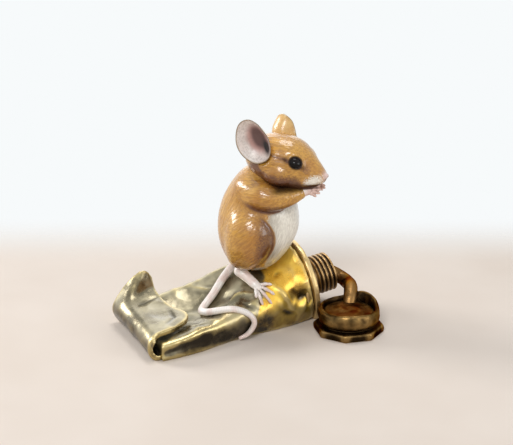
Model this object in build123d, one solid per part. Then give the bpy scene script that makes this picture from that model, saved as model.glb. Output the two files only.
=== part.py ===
from build123d import *

import os
from math import cos, radians, sin

# A cast and cold painted figurine: a mouse washes its paws on a squeezed paint tube,
# whose paint runs out of the neck into the upturned cap.
# +X runs along the tube to its neck, +Z is up, and the origin lies on the table,
# in the flat underside of the tube, below the mouse.

# Table, and the play left for solder or glue in every joint between castings
table_span = 300.0
solder_gap = 0.05

# Paint tube: shell and shoulder
tube_wall = 2.2
cavity_start = -24.0
shoulder_x = 18.0
shoulder_y = 3.4
shoulder_z = 11.4
shoulder_radius = 17.4
shoulder_rim = 2.9
shoulder_edge = 0.7
shoulder_cone = 2.6
cone_radius = 14.6
shell_step = 0.9
spigot_depth = 3.0
tube_pitch = 9.0
ring_steps = 8

# Shell stations along the tube: place, middle, half width, widest height,
# near ridge, valley, far ridge, depth below the table that the flat cut removes,
# and how far out the near wall's foot and ridge stand, as shares of the half width
tube_stations = [
    (-47.4, -0.8, 20.2, 2.6, 6.2, 4.4, 5.4, 1.0, 0.94, 0.92),
    (-41.0, -0.7, 20.2, 3.6, 7.4, 5.6, 8.4, 1.5, 0.92, 0.91),
    (-32.0, -0.3, 19.9, 4.8, 9.0, 6.4, 11.2, 2.0, 0.88, 0.88),
    (-20.0, 0.4, 18.4, 6.4, 10.9, 10.4, 14.4, 2.5, 0.78, 0.82),
    (-9.0, 1.2, 17.6, 8.2, 15.4, 17.4, 18.0, 3.5, 0.70, 0.72),
    (4.0, 2.2, 17.2, 10.0, 19.6, 23.0, 20.6, 4.5, 0.70, 0.72),
]
far_ridge_share = 0.72
far_foot_share = 0.70

# Folded and crimped end of the tube: the rows run from the near edge to the far one.
# Each row: place across the tube, then points of the sheet's middle line, along and up
sheet_thickness = 2.0
fold_rows = [
    (-20.6, [(-47.4, 1.1), (-49.4, 1.2), (-51, 2.6), (-51.5, 4.4), (-51.4, 5.8), (-51, 7), (-50.4, 8)]),
    (-18.8, [(-46.6, 1.1), (-49.3, 1.3), (-51.2, 3.8), (-51.2, 6.6), (-50.2, 8.4), (-49, 9.2), (-47.4, 9.4)]),
    (-15.6, [(-46, 1.1), (-49.2, 1.4), (-51.3, 4.8), (-50.2, 8.2), (-47.4, 9.4), (-43.6, 9.5), (-39.6, 9.3)]),
    (-11.2, [(-46, 1.1), (-49, 1.4), (-51.2, 5.2), (-49.6, 8.8), (-46, 9.8), (-40, 9.6), (-33.2, 9.8)]),
    (-5.6, [(-46, 1.1), (-48.9, 1.5), (-51.1, 5.4), (-49.4, 9), (-45.6, 10), (-38.6, 9.6), (-31.6, 10.2)]),
    (1.2, [(-46, 1.1), (-48.8, 1.5), (-51, 5.6), (-49.4, 9.2), (-45.8, 10.2), (-40.2, 9.8), (-34.4, 10)]),
    (7.8, [(-46, 1.1), (-48.8, 1.6), (-51.2, 5.8), (-50, 9.4), (-46.6, 10.8), (-41, 10.4), (-35.4, 10.6)]),
    (12.4, [(-46, 1.1), (-49, 1.6), (-51.4, 6), (-50.2, 9.8), (-46.6, 12.2), (-41.6, 11.4), (-35.8, 11.4)]),
    (16.4, [(-46, 1.1), (-49.2, 1.6), (-51.4, 6.2), (-48.6, 11.4), (-43.6, 15.4), (-40, 13.8), (-36.2, 12.6)]),
    (19.6, [(-46, 1.1), (-49.2, 1.6), (-51.2, 6.4), (-47, 13.2), (-40.6, 19), (-37.8, 18.8), (-36.4, 15.8)]),
]

# Neck: core, thread and the spigot that sits in the shoulder
neck_length = 9.6
neck_core_radius = 6.7
thread_depth = 0.85
thread_pitch = 1.75
thread_turns = 4.6
thread_root = 0.3
thread_foot_share = 0.44
thread_crest_share = 0.14
thread_start = 0.7
neck_spigot_radius = 5.2
neck_spigot_length = 4.0

# Cap, lying upside down
cap_x = 28.2
cap_y = -23.2
cap_flange_radius = 13.2
cap_flange_sides = 8
cap_flange_turn = 13.0
cap_flange_height = 2.8
cap_bevel = 0.5
cap_groove_radius = 10.6
cap_barrel_radius = 11.9
cap_rim_radius = 10.5
cap_height = 9.6
cap_swell_share = 0.55
cap_bore_radius = 9.5
cap_floor = 4.2

# Paint: the pool in the cap, and the bead that runs into it.
# The bead's bend is an offset from the neck's mouth, its drop one from its landing
paint_level = 7.6
paint_crown = 0.8
bead_radius = 2.7
bead_depth = 5.0
bead_straight = 1.0
bead_landing = (3.6, 6.6)
bead_sink = 1.0
bead_bend = (5.0, -5.2, -2.2)
bead_drop = (2.2, 4.6, 4.4)
bead_fall = (-0.3, -0.5, -1.0)

# Mouse: seat on the tube and heading about the vertical
seat_x = 0.8
seat_y = 0.0
seat_sink = 0.9
seat_probe = 1.0
heading = -44.0

# Torso stations going up: height, middle, half depth front to back, half width
torso_stations = [
    (0.4, -2.6, 5.4, 6.4),
    (3.0, -2.2, 9.2, 9.6),
    (7.4, -1.6, 12.4, 12.4),
    (12.8, -0.9, 14.8, 13.9),
    (18.6, -0.2, 15.8, 14.2),
    (24.6, 0.1, 15.2, 13.4),
    (30.4, 0.4, 13.4, 11.8),
    (35.6, 0.9, 10.8, 9.8),
    (40.0, 1.4, 7.6, 7.2),
    (42.6, 1.6, 3.8, 3.8),
]

# Head stations going forward: place, middle height, half width, half height
head_stations = [
    (-3.4, 45.4, 5.0, 4.4),
    (0.4, 45.2, 8.2, 7.6),
    (5.2, 44.8, 9.9, 9.6),
    (10.4, 44.4, 10.2, 10.3),
    (15.8, 43.9, 8.9, 9.7),
    (20.4, 42.9, 6.7, 7.9),
    (24.0, 41.9, 4.6, 5.3),
    (26.9, 41.2, 2.9, 2.9),
]
head_back = (-4.8, 0.0, 45.4)
nose_tip = (28.8, 0.0, 41.2)
head_roll = -4.0
head_turn = -10.0
head_pivot = (6.0, 0.0, 44.0)

# Ears: middle of the rim, the way the bowl opens, and the way its tip points
ear_right_place = (4.2, -12.4, 51.8)
ear_right_facing = (0.22, -0.88, -0.18)
ear_right_up = (-0.30, -0.20, 0.95)
ear_left_place = (4.4, 10.6, 50.8)
ear_left_facing = (0.42, 0.86, -0.10)
ear_left_up = (-0.06, 0.22, 0.97)
ear_half_width = 6.5
ear_half_height = 8.9
ear_bowl = 4.6
ear_wall = 1.1

# Eyes, limbs and paws are given for the left side and mirrored to the right
eye_radius = 2.7
eye_place = (18.1, 5.6, 46.2)

# Haunch stations going up: height, middle, half depth, half width
haunch_side = 10.6
haunch_stations = [
    (3.2, -3.0, 4.4, 3.2),
    (7.4, -1.6, 7.4, 5.6),
    (13.4, -0.2, 9.2, 7.2),
    (19.4, 0.2, 9.0, 7.0),
    (24.4, -0.4, 6.6, 5.4),
    (27.0, -0.8, 2.8, 2.4),
]

# Forelegs and forepaws: points of the middle line with the radius there
foreleg_points = [
    (-0.6, 8.2, 34.6, 4.4),
    (3.6, 9.8, 33.4, 5.4),
    (9.0, 9.6, 32.4, 5.0),
    (13.8, 7.4, 32.8, 3.9),
    (17.8, 4.8, 34.0, 2.7),
]
palm_points = [(16.2, 5.4, 33.6, 2.2), (18.8, 4.2, 34.4, 2.3), (20.8, 3.4, 34.8, 2.0)]
finger_radius = 0.8
finger_tips = [(24.0, 3.9, 33.2), (25.2, 3.2, 34.3), (25.4, 2.4, 35.5), (24.6, 1.7, 36.6)]

# Hind feet on the slopes of the tube: sole points with the radius there, and toe tips.
# These, and the tail's points, are offsets from the seat along the object's own axes
right_sole = [
    (-8.8, -2.4, 0.8, 2.6),
    (-7.0, -5.6, -0.8, 2.3),
    (-5.4, -9.2, -2.5, 2.4),
    (-4.4, -11.2, -4.0, 2.0),
]
right_toes = [
    (-6.9, -13.5, -6.0),
    (-5.1, -15.3, -8.6),
    (-1.4, -15.3, -8.8),
    (0.2, -14.0, -5.8),
    (0.1, -11.7, -2.7),
]
left_sole = [
    (3.4, 7.6, 3.5, 2.6),
    (5.6, 9.8, 4.3, 2.3),
    (8.0, 12.0, 3.7, 2.4),
    (9.2, 13.2, 2.9, 2.0),
]
left_toes = [
    (8.0, 17.2, -2.3),
    (10.2, 17.2, -2.0),
    (12.4, 16.0, 0.0),
    (13.4, 14.0, 2.3),
    (12.8, 11.6, 4.0),
]
toe_radius = 0.9

# Tail, lying over the tube: points of the middle line with the radius there
tail_points = [
    (-5.4, 5.4, 1.8, 1.9),
    (-9.2, 5.3, -0.8, 1.7),
    (-11.8, 4.4, -2.6, 1.6),
    (-14.7, 2.9, -4.8, 1.55),
    (-19.0, 0.4, -8.1, 1.5),
    (-23.3, -2.2, -10.4, 1.45),
    (-25.7, -4.9, -11.0, 1.4),
    (-25.8, -7.6, -10.6, 1.4),
    (-24.2, -10.0, -9.8, 1.35),
    (-19.7, -12.8, -8.6, 1.3),
    (-16.1, -14.7, -8.7, 1.25),
    (-12.5, -16.5, -10.1, 1.2),
    (-10.2, -17.3, -12.2, 1.1),
    (-9.5, -17.6, -14.5, 1.05),
    (-10.4, -17.4, -16.9, 1.0),
    (-12.2, -16.9, -19.0, 0.95),
    (-14.8, -16.4, -20.2, 0.9),
]

# Hidden pins that hold the castings together
dowel_radius = 1.5
dowel_below = 4.0
dowel_above = 8.0
dowel_places = [-3.6, 3.0]
head_dowel_x = 2.6
head_dowel_low = 33.0
head_dowel_high = 48.0
pin_radius = 0.8
foreleg_pin_inner = 2.8
foreleg_pin_outer = 2.8
haunch_pin_height = 14.0
haunch_pin_inner = 0.6
haunch_pin_outer = 5.2

standing = (Align.CENTER, Align.CENTER, Align.MIN)


# Closed outline of one shell station, or of the hollow inside it
def station_points(station, inset=0.0):
    place, middle, half, side, near, valley, far, below, near_foot_share, near_ridge_share = station
    wide = half - inset
    floor = inset if inset else -below
    return [
        (place, middle, floor),
        (place, middle - near_foot_share * wide, floor),
        (place, middle - wide, side),
        (place, middle - near_ridge_share * wide, near - inset),
        (place, middle, valley - inset),
        (place, middle + far_ridge_share * wide, far - inset),
        (place, middle + wide, side),
        (place, middle + far_foot_share * wide, floor),
    ]


# Round outline of the shell where it meets the shoulder, with the same number of points
def shoulder_points(inset=0.0):
    radius = shoulder_radius - shell_step - inset
    angles = [radians(180 + 360 * k / ring_steps) for k in range(ring_steps)]
    flat = [(radius * sin(a), -radius * cos(a), 0) for a in angles]
    return [tuple(tube_axis.from_local_coords(p)) for p in flat]


def closed_face(points):
    return make_face(Spline(*points, periodic=True))


# Loft through the stations to the shoulder, with a flat floor at the inset's height
def shell_loft(stations, inset=0.0):
    faces = [closed_face(station_points(s, inset)) for s in stations]
    faces.append(closed_face(shoulder_points(inset)))
    return loft(faces) & (Pos(0, 0, inset) * above_table)


# Round limb through points that each carry a radius
def limb(points):
    centres = [Vector(*p[:3]) for p in points]
    faces = []
    across = None
    for k, centre in enumerate(centres):
        before = centres[max(k - 1, 0)]
        after = centres[min(k + 1, len(centres) - 1)]
        along = (after - before).normalized()
        if across is None:
            across = Vector(0, 0, 1) if abs(along.Z) < 0.9 else Vector(1, 0, 0)
        across = (across - along * across.dot(along)).normalized()
        faces.append(Plane(origin=centre, x_dir=across, z_dir=along) * Circle(points[k][3]))
    return loft(faces)


def rounded_limb(points):
    tip = points[-1]
    return limb(points) + Pos(*tip[:3]) * Sphere(tip[3])


# Paw with a rounded end, and digits that spread from it
def paw(points, digit_tips, digit_radius):
    end = points[-1]
    digits = [rounded_limb([end[:3] + (digit_radius,), tip + (digit_radius,)]) for tip in digit_tips]
    return limb(points) + Pos(*end[:3]) * Sphere(end[3]) + digits


# Outline of the folded sheet at one place across the tube
def fold_row(place, points):
    middle = [Vector(x, place, z) for x, z in points]
    upper = []
    lower = []
    for k, point in enumerate(middle):
        along = (middle[min(k + 1, len(middle) - 1)] - middle[max(k - 1, 0)]).normalized()
        across = Vector(along.Z, 0, -along.X) * (sheet_thickness / 2)
        upper.append(point + across)
        lower.append(point - across)
    outline = [
        Spline(*upper),
        Line(upper[-1], lower[-1]),
        Spline(*reversed(lower)),
        Line(lower[0], upper[0]),
    ]
    return make_face(outline)


# Points given from the seat, moved to their place on the object
def from_seat(points):
    return [(p[0] + seat_x, p[1] + seat_y, p[2] + seat_z) + tuple(p[3:]) for p in points]


# Straight pins in the mouse's frame, each from one point to another
def pins(runs, radius):
    solids = []
    for start, end in runs:
        reach = Vector(*end) - Vector(*start)
        frame = Plane(origin=start, z_dir=reach)
        solids.append(mouse * frame * Cylinder(radius, reach.length, align=standing))
    return solids


# Full bowl of an ear, grown or shrunk by a change
def ear_bowl_form(change):
    sizes = (ear_half_height + change, ear_half_width + change, ear_bowl + change)
    return scale(Sphere(1), by=sizes)


above_table = Box(table_span, table_span, table_span, align=standing)
tube_axis = Plane(
    origin=(shoulder_x, shoulder_y, shoulder_z),
    x_dir=(0, 1, 0),
    z_dir=(cos(radians(tube_pitch)), 0, sin(radians(tube_pitch))),
)
nodes = {}

# Tube shell: open at the shoulder end, hollow as far as the squashed part
tube_outer = shell_loft(tube_stations)
hollow_stations = [s for s in tube_stations if s[0] > cavity_start]
tube_hollow = shell_loft(hollow_stations, tube_wall)

# Shoulder: rim and cone, with a spigot that fills the mouth of the shell
neck_seat = shoulder_rim + shoulder_cone
rim_disc = Cylinder(shoulder_radius, shoulder_rim, align=standing)
rim_disc = fillet(rim_disc.edges().filter_by(GeomType.CIRCLE), shoulder_edge)
cone_top_radius = neck_core_radius + thread_depth
cone = Cone(cone_radius, cone_top_radius, shoulder_cone, align=standing)
cone = Pos(0, 0, shoulder_rim) * cone
neck_hole = Pos(0, 0, neck_seat - neck_spigot_length) * Cylinder(
    neck_spigot_radius + solder_gap, neck_length, align=standing
)
spigot_slab = Pos(0, 0, -spigot_depth) * Box(table_span, table_span, spigot_depth, align=standing)
spigot = shell_loft(hollow_stations, tube_wall + solder_gap) & (tube_axis * spigot_slab)
nodes["shoulder"] = (tube_axis * (rim_disc + cone - neck_hole) + spigot) & above_table

# Neck: a core with a real thread, and the channel that the paint fills
neck_core = Cylinder(neck_core_radius, neck_length, align=standing)
neck_spigot = Cylinder(neck_spigot_radius, neck_spigot_length, align=standing)
neck_spigot = Pos(0, 0, -neck_spigot_length) * neck_spigot
thread_path = Helix(thread_pitch, thread_pitch * thread_turns, neck_core_radius)
thread_profile = Plane(thread_path @ 0, x_dir=(1, 0, 0), z_dir=thread_path % 0) * Polygon(
    (-thread_root, -thread_pitch * thread_foot_share),
    (thread_depth, -thread_pitch * thread_crest_share),
    (thread_depth, thread_pitch * thread_crest_share),
    (-thread_root, thread_pitch * thread_foot_share),
    align=None,
)
thread = Pos(0, 0, thread_start) * sweep(thread_profile, path=thread_path, is_frenet=True)
channel = Cylinder(bead_radius + solder_gap, neck_length, align=standing)
channel = Pos(0, 0, neck_length - bead_depth) * channel
neck_place = tube_axis * Pos(0, 0, neck_seat)
nodes["threaded_neck"] = neck_place * (neck_core + thread + neck_spigot - channel)

# Cap: eight sided flange, a groove, and a swelling barrel with the bore upwards
cap_place = Pos(cap_x, cap_y, 0)
flange_outline = RegularPolygon(cap_flange_radius, cap_flange_sides, rotation=cap_flange_turn)
flange = extrude(flange_outline, cap_flange_height)
flange = chamfer(flange.edges().group_by(Axis.Z)[-1], cap_bevel)
barrel_swell = cap_flange_height + cap_swell_share * (cap_height - cap_flange_height)
barrel_foot = (cap_groove_radius, cap_flange_height)
barrel_rim = (cap_rim_radius, cap_height)
barrel_outline = [
    Spline(barrel_foot, (cap_barrel_radius, barrel_swell), barrel_rim),
    Line(barrel_rim, (0, cap_height)),
    Line((0, cap_height), (0, cap_flange_height)),
    Line((0, cap_flange_height), barrel_foot),
]
barrel = revolve(Plane.XZ * make_face(barrel_outline), Axis.Z)
bore = Pos(0, 0, cap_floor) * Cylinder(cap_bore_radius, cap_height, align=standing)
nodes["cap"] = cap_place * (flange + barrel - bore)

# Paint pool: fills the bore to its level, with a low crown
pool_radius = cap_bore_radius - solder_gap
pool_crown_point = (0, paint_level + paint_crown)
pool_crown_edge = ThreePointArc((-pool_radius, paint_level), pool_crown_point, (pool_radius, paint_level))
pool_outline = [
    pool_crown_edge,
    Line((pool_radius, paint_level), (pool_radius, cap_floor)),
    Line((pool_radius, cap_floor), (-pool_radius, cap_floor)),
    Line((-pool_radius, cap_floor), (-pool_radius, paint_level)),
]
pool_half = split(Plane.XZ * make_face(pool_outline), bisect_by=Plane.YZ)
nodes["paint_pool"] = cap_place * revolve(pool_half, Axis.Z)

# Paint bead: out of the channel, over the rim of the cap and into the pool
mouth_height = neck_seat + neck_length
mouth = tube_axis.from_local_coords(Vector(0, 0, mouth_height))
landing = Vector(cap_x + bead_landing[0], cap_y + bead_landing[1], paint_level - bead_sink)
bead_start = tube_axis.from_local_coords(Vector(0, 0, mouth_height + bead_straight))
bead_line = Spline(
    bead_start,
    mouth + Vector(*bead_bend),
    landing + Vector(*bead_drop),
    landing,
    tangents=[tube_axis.z_dir, Vector(*bead_fall)],
)
bead_section = Plane(origin=bead_start, z_dir=tube_axis.z_dir) * Circle(bead_radius)
bead = sweep(bead_section, path=bead_line)
bead_plug = Cylinder(bead_radius, bead_depth + bead_straight, align=standing)
bead_plug = tube_axis * Pos(0, 0, mouth_height - bead_depth) * bead_plug
nodes["paint_bead"] = bead_plug + (bead - nodes["paint_pool"] - nodes["cap"])

# Folded and crimped end, soldered on the squashed end of the shell
fold = loft([fold_row(place, points) for place, points in fold_rows]) & above_table
nodes["folded_end"] = fold - tube_outer

# Mouse frame: the seat is found on top of the shell
seat_column = Pos(seat_x, seat_y, 0) * Cylinder(seat_probe, table_span, align=standing)
seat_z = (tube_outer & seat_column).bounding_box().max.Z - seat_sink
mouse = Plane(
    origin=(seat_x, seat_y, seat_z),
    x_dir=(cos(radians(heading)), sin(radians(heading)), 0),
    z_dir=(0, 0, 1),
)
head_tilt = Rot(0, 0, head_turn) * Rot(head_roll, 0, 0)
head_place = mouse * Pos(*head_pivot) * head_tilt * Pos(*[-v for v in head_pivot])

# Torso and head, each a loft in the mouse's own frame
torso = loft([Pos(x, 0, z) * Ellipse(a, b) for z, x, a, b in torso_stations])
torso = (mouse * torso) - tube_outer
head_faces = []
for x, z, half_width, half_height in head_stations:
    frame = Plane(origin=(x, 0, z), x_dir=(0, 1, 0), z_dir=(1, 0, 0))
    head_faces.append(frame * Ellipse(half_width, half_height))
head = loft([Vertex(*head_back)] + head_faces + [Vertex(*nose_tip)])

# Ears: deep bowls with an even wall, opening outwards, each set in a socket of the head
ear_back = Rot(180, 0, 0) * Box(table_span, table_span, table_span, align=standing)
ear_form = (ear_bowl_form(0) - ear_bowl_form(-ear_wall)) & ear_back
ear_socket = ear_bowl_form(solder_gap) & ear_back
ear_frames = {
    "left": Plane(origin=ear_left_place, x_dir=ear_left_up, z_dir=ear_left_facing),
    "right": Plane(origin=ear_right_place, x_dir=ear_right_up, z_dir=ear_right_facing),
}
for side, frame in ear_frames.items():
    ear = frame * ear_form
    nodes["ear_" + side] = head_place * ear
    head = head - frame * ear_socket

# Eyes: smooth balls in round sockets, with their poles to the sides
for side, way in (("left", 1), ("right", -1)):
    eye_frame = Pos(eye_place[0], way * eye_place[1], eye_place[2]) * Rot(90, 0, 0)
    nodes["eye_" + side] = head_place * eye_frame * Sphere(eye_radius)
    head = head - eye_frame * Sphere(eye_radius + solder_gap)
head = (head_place * head) - torso

# Haunches, forelegs and forepaws, each fitted to the larger pieces
haunch = loft([Pos(x, haunch_side, z) * Ellipse(a, b) for z, x, a, b in haunch_stations])
foreleg = limb(foreleg_points)
forepaw = paw(palm_points, finger_tips, finger_radius)
for side in ("left", "right"):
    forms = [haunch, foreleg, forepaw]
    if side == "right":
        forms = [mirror(form, about=Plane.XZ) for form in forms]
    haunch_form, foreleg_form, forepaw_form = [mouse * form for form in forms]
    nodes["haunch_" + side] = haunch_form - torso - tube_outer
    nodes["foreleg_" + side] = foreleg_form - torso - head - nodes["haunch_" + side]
    nodes["forepaw_" + side] = forepaw_form - nodes["foreleg_" + side] - head

# Hind feet on the slopes of the tube
for side, sole, tips in (("right", right_sole, right_toes), ("left", left_sole, left_toes)):
    foot = paw(from_seat(sole), from_seat(tips), toe_radius)
    nodes["hind_foot_" + side] = foot - tube_outer - nodes["shoulder"] - torso - nodes["haunch_" + side]

# Tail, lying over the tube
tail = rounded_limb(from_seat(tail_points)) - tube_outer - torso
for name in ("haunch_right", "haunch_left", "hind_foot_right"):
    tail = tail - nodes[name]
nodes["tail"] = tail

# Hidden pins: two dowels from seat to tube, one from neck to head, and one for each upper limb
foreleg_root = foreleg_points[1]
foreleg_inner = foreleg_root[1] - foreleg_pin_inner
foreleg_outer = foreleg_root[1] + foreleg_pin_outer
haunch_inner = haunch_side - haunch_pin_inner
haunch_outer = haunch_side + haunch_pin_outer
dowel_runs = [((x, 0, -dowel_below), (x, 0, dowel_above)) for x in dowel_places]
head_runs = [((head_dowel_x, 0, head_dowel_low), (head_dowel_x, 0, head_dowel_high))]
foreleg_runs = []
haunch_runs = []
for way in (1, -1):
    x, z = foreleg_root[0], foreleg_root[2]
    foreleg_runs.append(((x, way * foreleg_inner, z), (x, way * foreleg_outer, z)))
    z = haunch_pin_height
    haunch_runs.append(((0, way * haunch_inner, z), (0, way * haunch_outer, z)))
nodes["seat_dowels"] = Compound(pins(dowel_runs, dowel_radius))
nodes["head_dowel"] = Compound(pins(head_runs, dowel_radius))
nodes["foreleg_pins"] = Compound(pins(foreleg_runs, pin_radius))
nodes["haunch_pins"] = Compound(pins(haunch_runs, pin_radius))

# Holes for the pins
dowel_holes = pins(dowel_runs, dowel_radius + solder_gap)
head_holes = pins(head_runs, dowel_radius + solder_gap)
foreleg_holes = pins(foreleg_runs, pin_radius + solder_gap)
haunch_holes = pins(haunch_runs, pin_radius + solder_gap)
nodes["torso"] = torso - dowel_holes - head_holes - foreleg_holes - haunch_holes
nodes["head"] = head - head_holes
nodes["tube_body"] = tube_outer - tube_hollow - dowel_holes
for side in ("left", "right"):
    nodes["haunch_" + side] = nodes["haunch_" + side] - haunch_holes
    nodes["foreleg_" + side] = nodes["foreleg_" + side] - foreleg_holes

os.makedirs("parts", exist_ok=True)
for name, shape in nodes.items():
    export_step(shape, f"parts/{name}.step")
print("seat height", round(seat_z, 2))
print(len(nodes), "nodes written")
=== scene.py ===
from math import cos, pi, radians, sin

import bmesh
import bpy
import numpy as np
from mathutils import Matrix, Vector, noise


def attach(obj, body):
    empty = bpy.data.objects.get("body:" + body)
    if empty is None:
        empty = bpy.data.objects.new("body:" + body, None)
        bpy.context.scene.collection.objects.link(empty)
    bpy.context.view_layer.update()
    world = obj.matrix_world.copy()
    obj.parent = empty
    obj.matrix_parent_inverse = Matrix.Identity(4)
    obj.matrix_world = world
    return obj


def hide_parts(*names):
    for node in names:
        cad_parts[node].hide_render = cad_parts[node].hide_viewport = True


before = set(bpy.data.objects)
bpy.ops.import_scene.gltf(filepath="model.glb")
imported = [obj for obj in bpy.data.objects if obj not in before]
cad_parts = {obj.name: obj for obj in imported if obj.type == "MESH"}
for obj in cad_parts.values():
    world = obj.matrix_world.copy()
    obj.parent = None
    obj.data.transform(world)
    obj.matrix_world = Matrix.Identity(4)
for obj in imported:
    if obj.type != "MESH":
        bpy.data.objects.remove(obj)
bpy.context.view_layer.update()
scene = bpy.context.scene
toMetres = Matrix.Scale(0.001, 4)  # shapes are worked out in millimetres
print("frame:", len(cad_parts), "nodes loaded")


# Small tools for shapes

def smoothStep(low, high, value):
    share = np.clip((value - low) / (high - low), 0.0, 1.0)
    return share * share * (3.0 - 2.0 * share)


def fadeOut(low, high, value):
    return 1 - smoothStep(low, high, value)


def circle(sides):
    return np.linspace(0, 2 * pi, sides, endpoint=False)


# Level ring about an upright axis
def levelRing(angles, radiusX, radiusY, z, x=0.0, y=0.0):
    return np.stack([x + radiusX * np.cos(angles), y + radiusY * np.sin(angles), np.full(len(angles), z)], 1)


# Smooth line through a few points; every column is carried along, a radius too
def throughPoints(points, steps, ring=False):
    p = np.array(points, float)
    if ring:
        p = np.vstack([p[-1:], p, p[:2]])
    else:
        p = np.vstack([2 * p[:1] - p[1:2], p, 2 * p[-1:] - p[-2:-1]])
    share = np.linspace(0, 1, steps, endpoint=False)[:, None]
    rows = []
    for a, b, c, d in zip(p, p[1:], p[2:], p[3:]):
        bend = 2 * a - 5 * b + 4 * c - d + share * (3 * (b - c) + d - a)
        rows.append(b + 0.5 * share * (c - a + share * bend))
    if not ring:
        rows.append(p[-2:-1])
    return np.vstack(rows)


# Closed skin over rings of points, with a fan at each end
def skinRings(rings):
    rings = np.array(rings)
    count, sides = rings.shape[:2]
    points = np.vstack([rings.reshape(-1, 3), rings[:1].mean(1), rings[-1:].mean(1)])
    first, last, top = count * sides, count * sides + 1, (count - 1) * sides
    faces = []
    for low in range(0, top, sides):
        for j in range(sides):
            n = (j + 1) % sides
            faces.append((low + j, low + n, low + sides + n, low + sides + j))
    for j in range(sides):
        n = (j + 1) % sides
        faces.append((first, n, j))
        faces.append((last, top + j, top + n))
    return points, faces


# Round limb with domed ends along points that carry a radius
def roundLimb(points, steps=6, sides=20):
    line = throughPoints(points, steps)
    centre, radius = line[:, :3], line[:, 3]
    along = np.gradient(centre, axis=0)
    along /= np.linalg.norm(along, axis=1)[:, None]
    across = np.array([0.0, 0.0, 1.0]) if abs(along[0, 2]) < 0.9 else np.array([1.0, 0.0, 0.0])
    angles = circle(sides)[:, None]
    domes = [radians(a) for a in (75, 55, 35, 15)]
    rings = []
    for k, way in enumerate(along):
        across = across - way * (across @ way)
        across /= np.linalg.norm(across)
        unit = np.cos(angles) * across + np.sin(angles) * np.cross(way, across)
        if k == 0:
            rings += [centre[k] + radius[k] * (cos(a) * unit - sin(a) * way) for a in domes]
        rings.append(centre[k] + radius[k] * unit)
        if k == len(along) - 1:
            rings += [centre[k] + radius[k] * (cos(a) * unit + sin(a) * way) for a in reversed(domes)]
    return skinRings(rings)


def ball(centre, radii, rows=14, sides=28):
    angles = circle(sides)
    levels = np.linspace(-pi / 2, pi / 2, rows + 2)[1:-1]
    rings = [levelRing(angles, cos(a), cos(a), sin(a)) * np.array(radii) for a in levels]
    return skinRings(np.array(rings) + np.array(centre))


# Upright body through oval stations: height, middle, half depth, half width
def ovalStack(stations, side=0.0):
    angles = circle(48)
    rows = throughPoints(stations, 5)
    return skinRings([levelRing(angles, deep, wide, z, x, side) for z, x, deep, wide in rows])


def joinParts(parts):
    points, faces, start = [], [], 0
    for partPoints, partFaces in parts:
        points.append(partPoints)
        faces += [tuple(i + start for i in face) for face in partFaces]
        start += len(partPoints)
    return np.vstack(points), faces


def mirrored(part):
    points, faces = part
    return points * np.array([1.0, -1.0, 1.0]), [tuple(reversed(face)) for face in faces]


def bothSides(*parts):
    return [side for part in parts for side in (part, mirrored(part))]


def makeObject(name, part):
    points, faces = part
    mesh = bpy.data.meshes.new(name)
    mesh.from_pydata([tuple(p) for p in points], [], faces)
    work = bmesh.new()
    work.from_mesh(mesh)
    bmesh.ops.recalc_face_normals(work, faces=work.faces)
    work.to_mesh(mesh)
    work.free()
    mesh.polygons.foreach_set("use_smooth", [True] * len(mesh.polygons))
    obj = bpy.data.objects.new(name, mesh)
    scene.collection.objects.link(obj)
    return obj


def applyModifiers(obj):
    bpy.context.view_layer.update()
    graph = bpy.context.evaluated_depsgraph_get()
    mesh = bpy.data.meshes.new_from_object(obj.evaluated_get(graph))
    old = obj.data
    obj.modifiers.clear()
    obj.data = mesh
    bpy.data.meshes.remove(old)
    mesh.name = obj.name


# Several closed forms become one skin, eased at their joins
def fuse(name, parts, values):
    obj = makeObject(name, joinParts(parts))
    remesh = obj.modifiers.new("fuse", "REMESH")
    remesh.mode = "VOXEL"
    remesh.voxel_size = values["voxel"]
    remesh.use_smooth_shade = True
    ease = obj.modifiers.new("ease", "SMOOTH")
    ease.factor = 0.5
    ease.iterations = values["easing"]
    applyModifiers(obj)
    return obj


def readColumns(items, key):
    values = np.empty(len(items) * 3)
    items.foreach_get(key, values)
    return values.reshape(-1, 3)


def pointsOf(obj):
    return readColumns(obj.data.vertices, "co")


def normalsOf(obj):
    return readColumns(obj.data.vertex_normals, "vector")


def movePoints(obj, points):
    obj.data.vertices.foreach_set("co", points.ravel())
    obj.data.update()


# Push points in or out along the skin
def pushOut(obj, amount):
    movePoints(obj, pointsOf(obj) + normalsOf(obj) * amount[:, None])


def keepAbove(obj, level):
    p = pointsOf(obj)
    p[:, 2] = np.maximum(p[:, 2], level)
    movePoints(obj, p)
    return p


# Points with both sides of the mouse laid on its left
def foldSides(points):
    return np.stack([points[:, 0], np.abs(points[:, 1]), points[:, 2]], 1)


def near(points, centre, radius):
    return np.exp(-((points - np.array(centre)) ** 2).sum(1) / radius ** 2)


# Sum of soft spots, each with its place, radius and strength
def spotSum(points, spots):
    return sum(strength * near(points, centre, radius) for centre, radius, strength in spots)


# Distance to a line through points, and how far along it each place lies
def alongRun(points, line):
    line = np.array(line, float)
    lengths = np.linalg.norm(np.diff(line, axis=0), axis=1)
    gap, share, start = np.full(len(points), 1e9), np.zeros(len(points)), 0.0
    for a, b, length in zip(line, line[1:], lengths):
        part = np.clip((points - a) @ (b - a) / length ** 2, 0, 1)
        far = np.linalg.norm(points - a - part[:, None] * (b - a), axis=1)
        closer = far < gap
        gap[closer] = far[closer]
        share[closer] = (start + part[closer] * length) / lengths.sum()
        start += length
    return gap, share


# Distance to the surface of a limb whose points carry a radius
def gapToLimb(points, line):
    best = np.full(len(points), 1e9)
    for a, b in zip(line, line[1:]):
        run = b[:3] - a[:3]
        share = np.clip((points - a[:3]) @ run / (run @ run), 0, 1)
        radius = a[3] + share * (b[3] - a[3])
        best = np.minimum(best, np.linalg.norm(points - a[:3] - share[:, None] * run, axis=1) - radius)
    return best


def noiseAt(points):
    return np.array([noise.noise(Vector(p)) for p in points])


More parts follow.
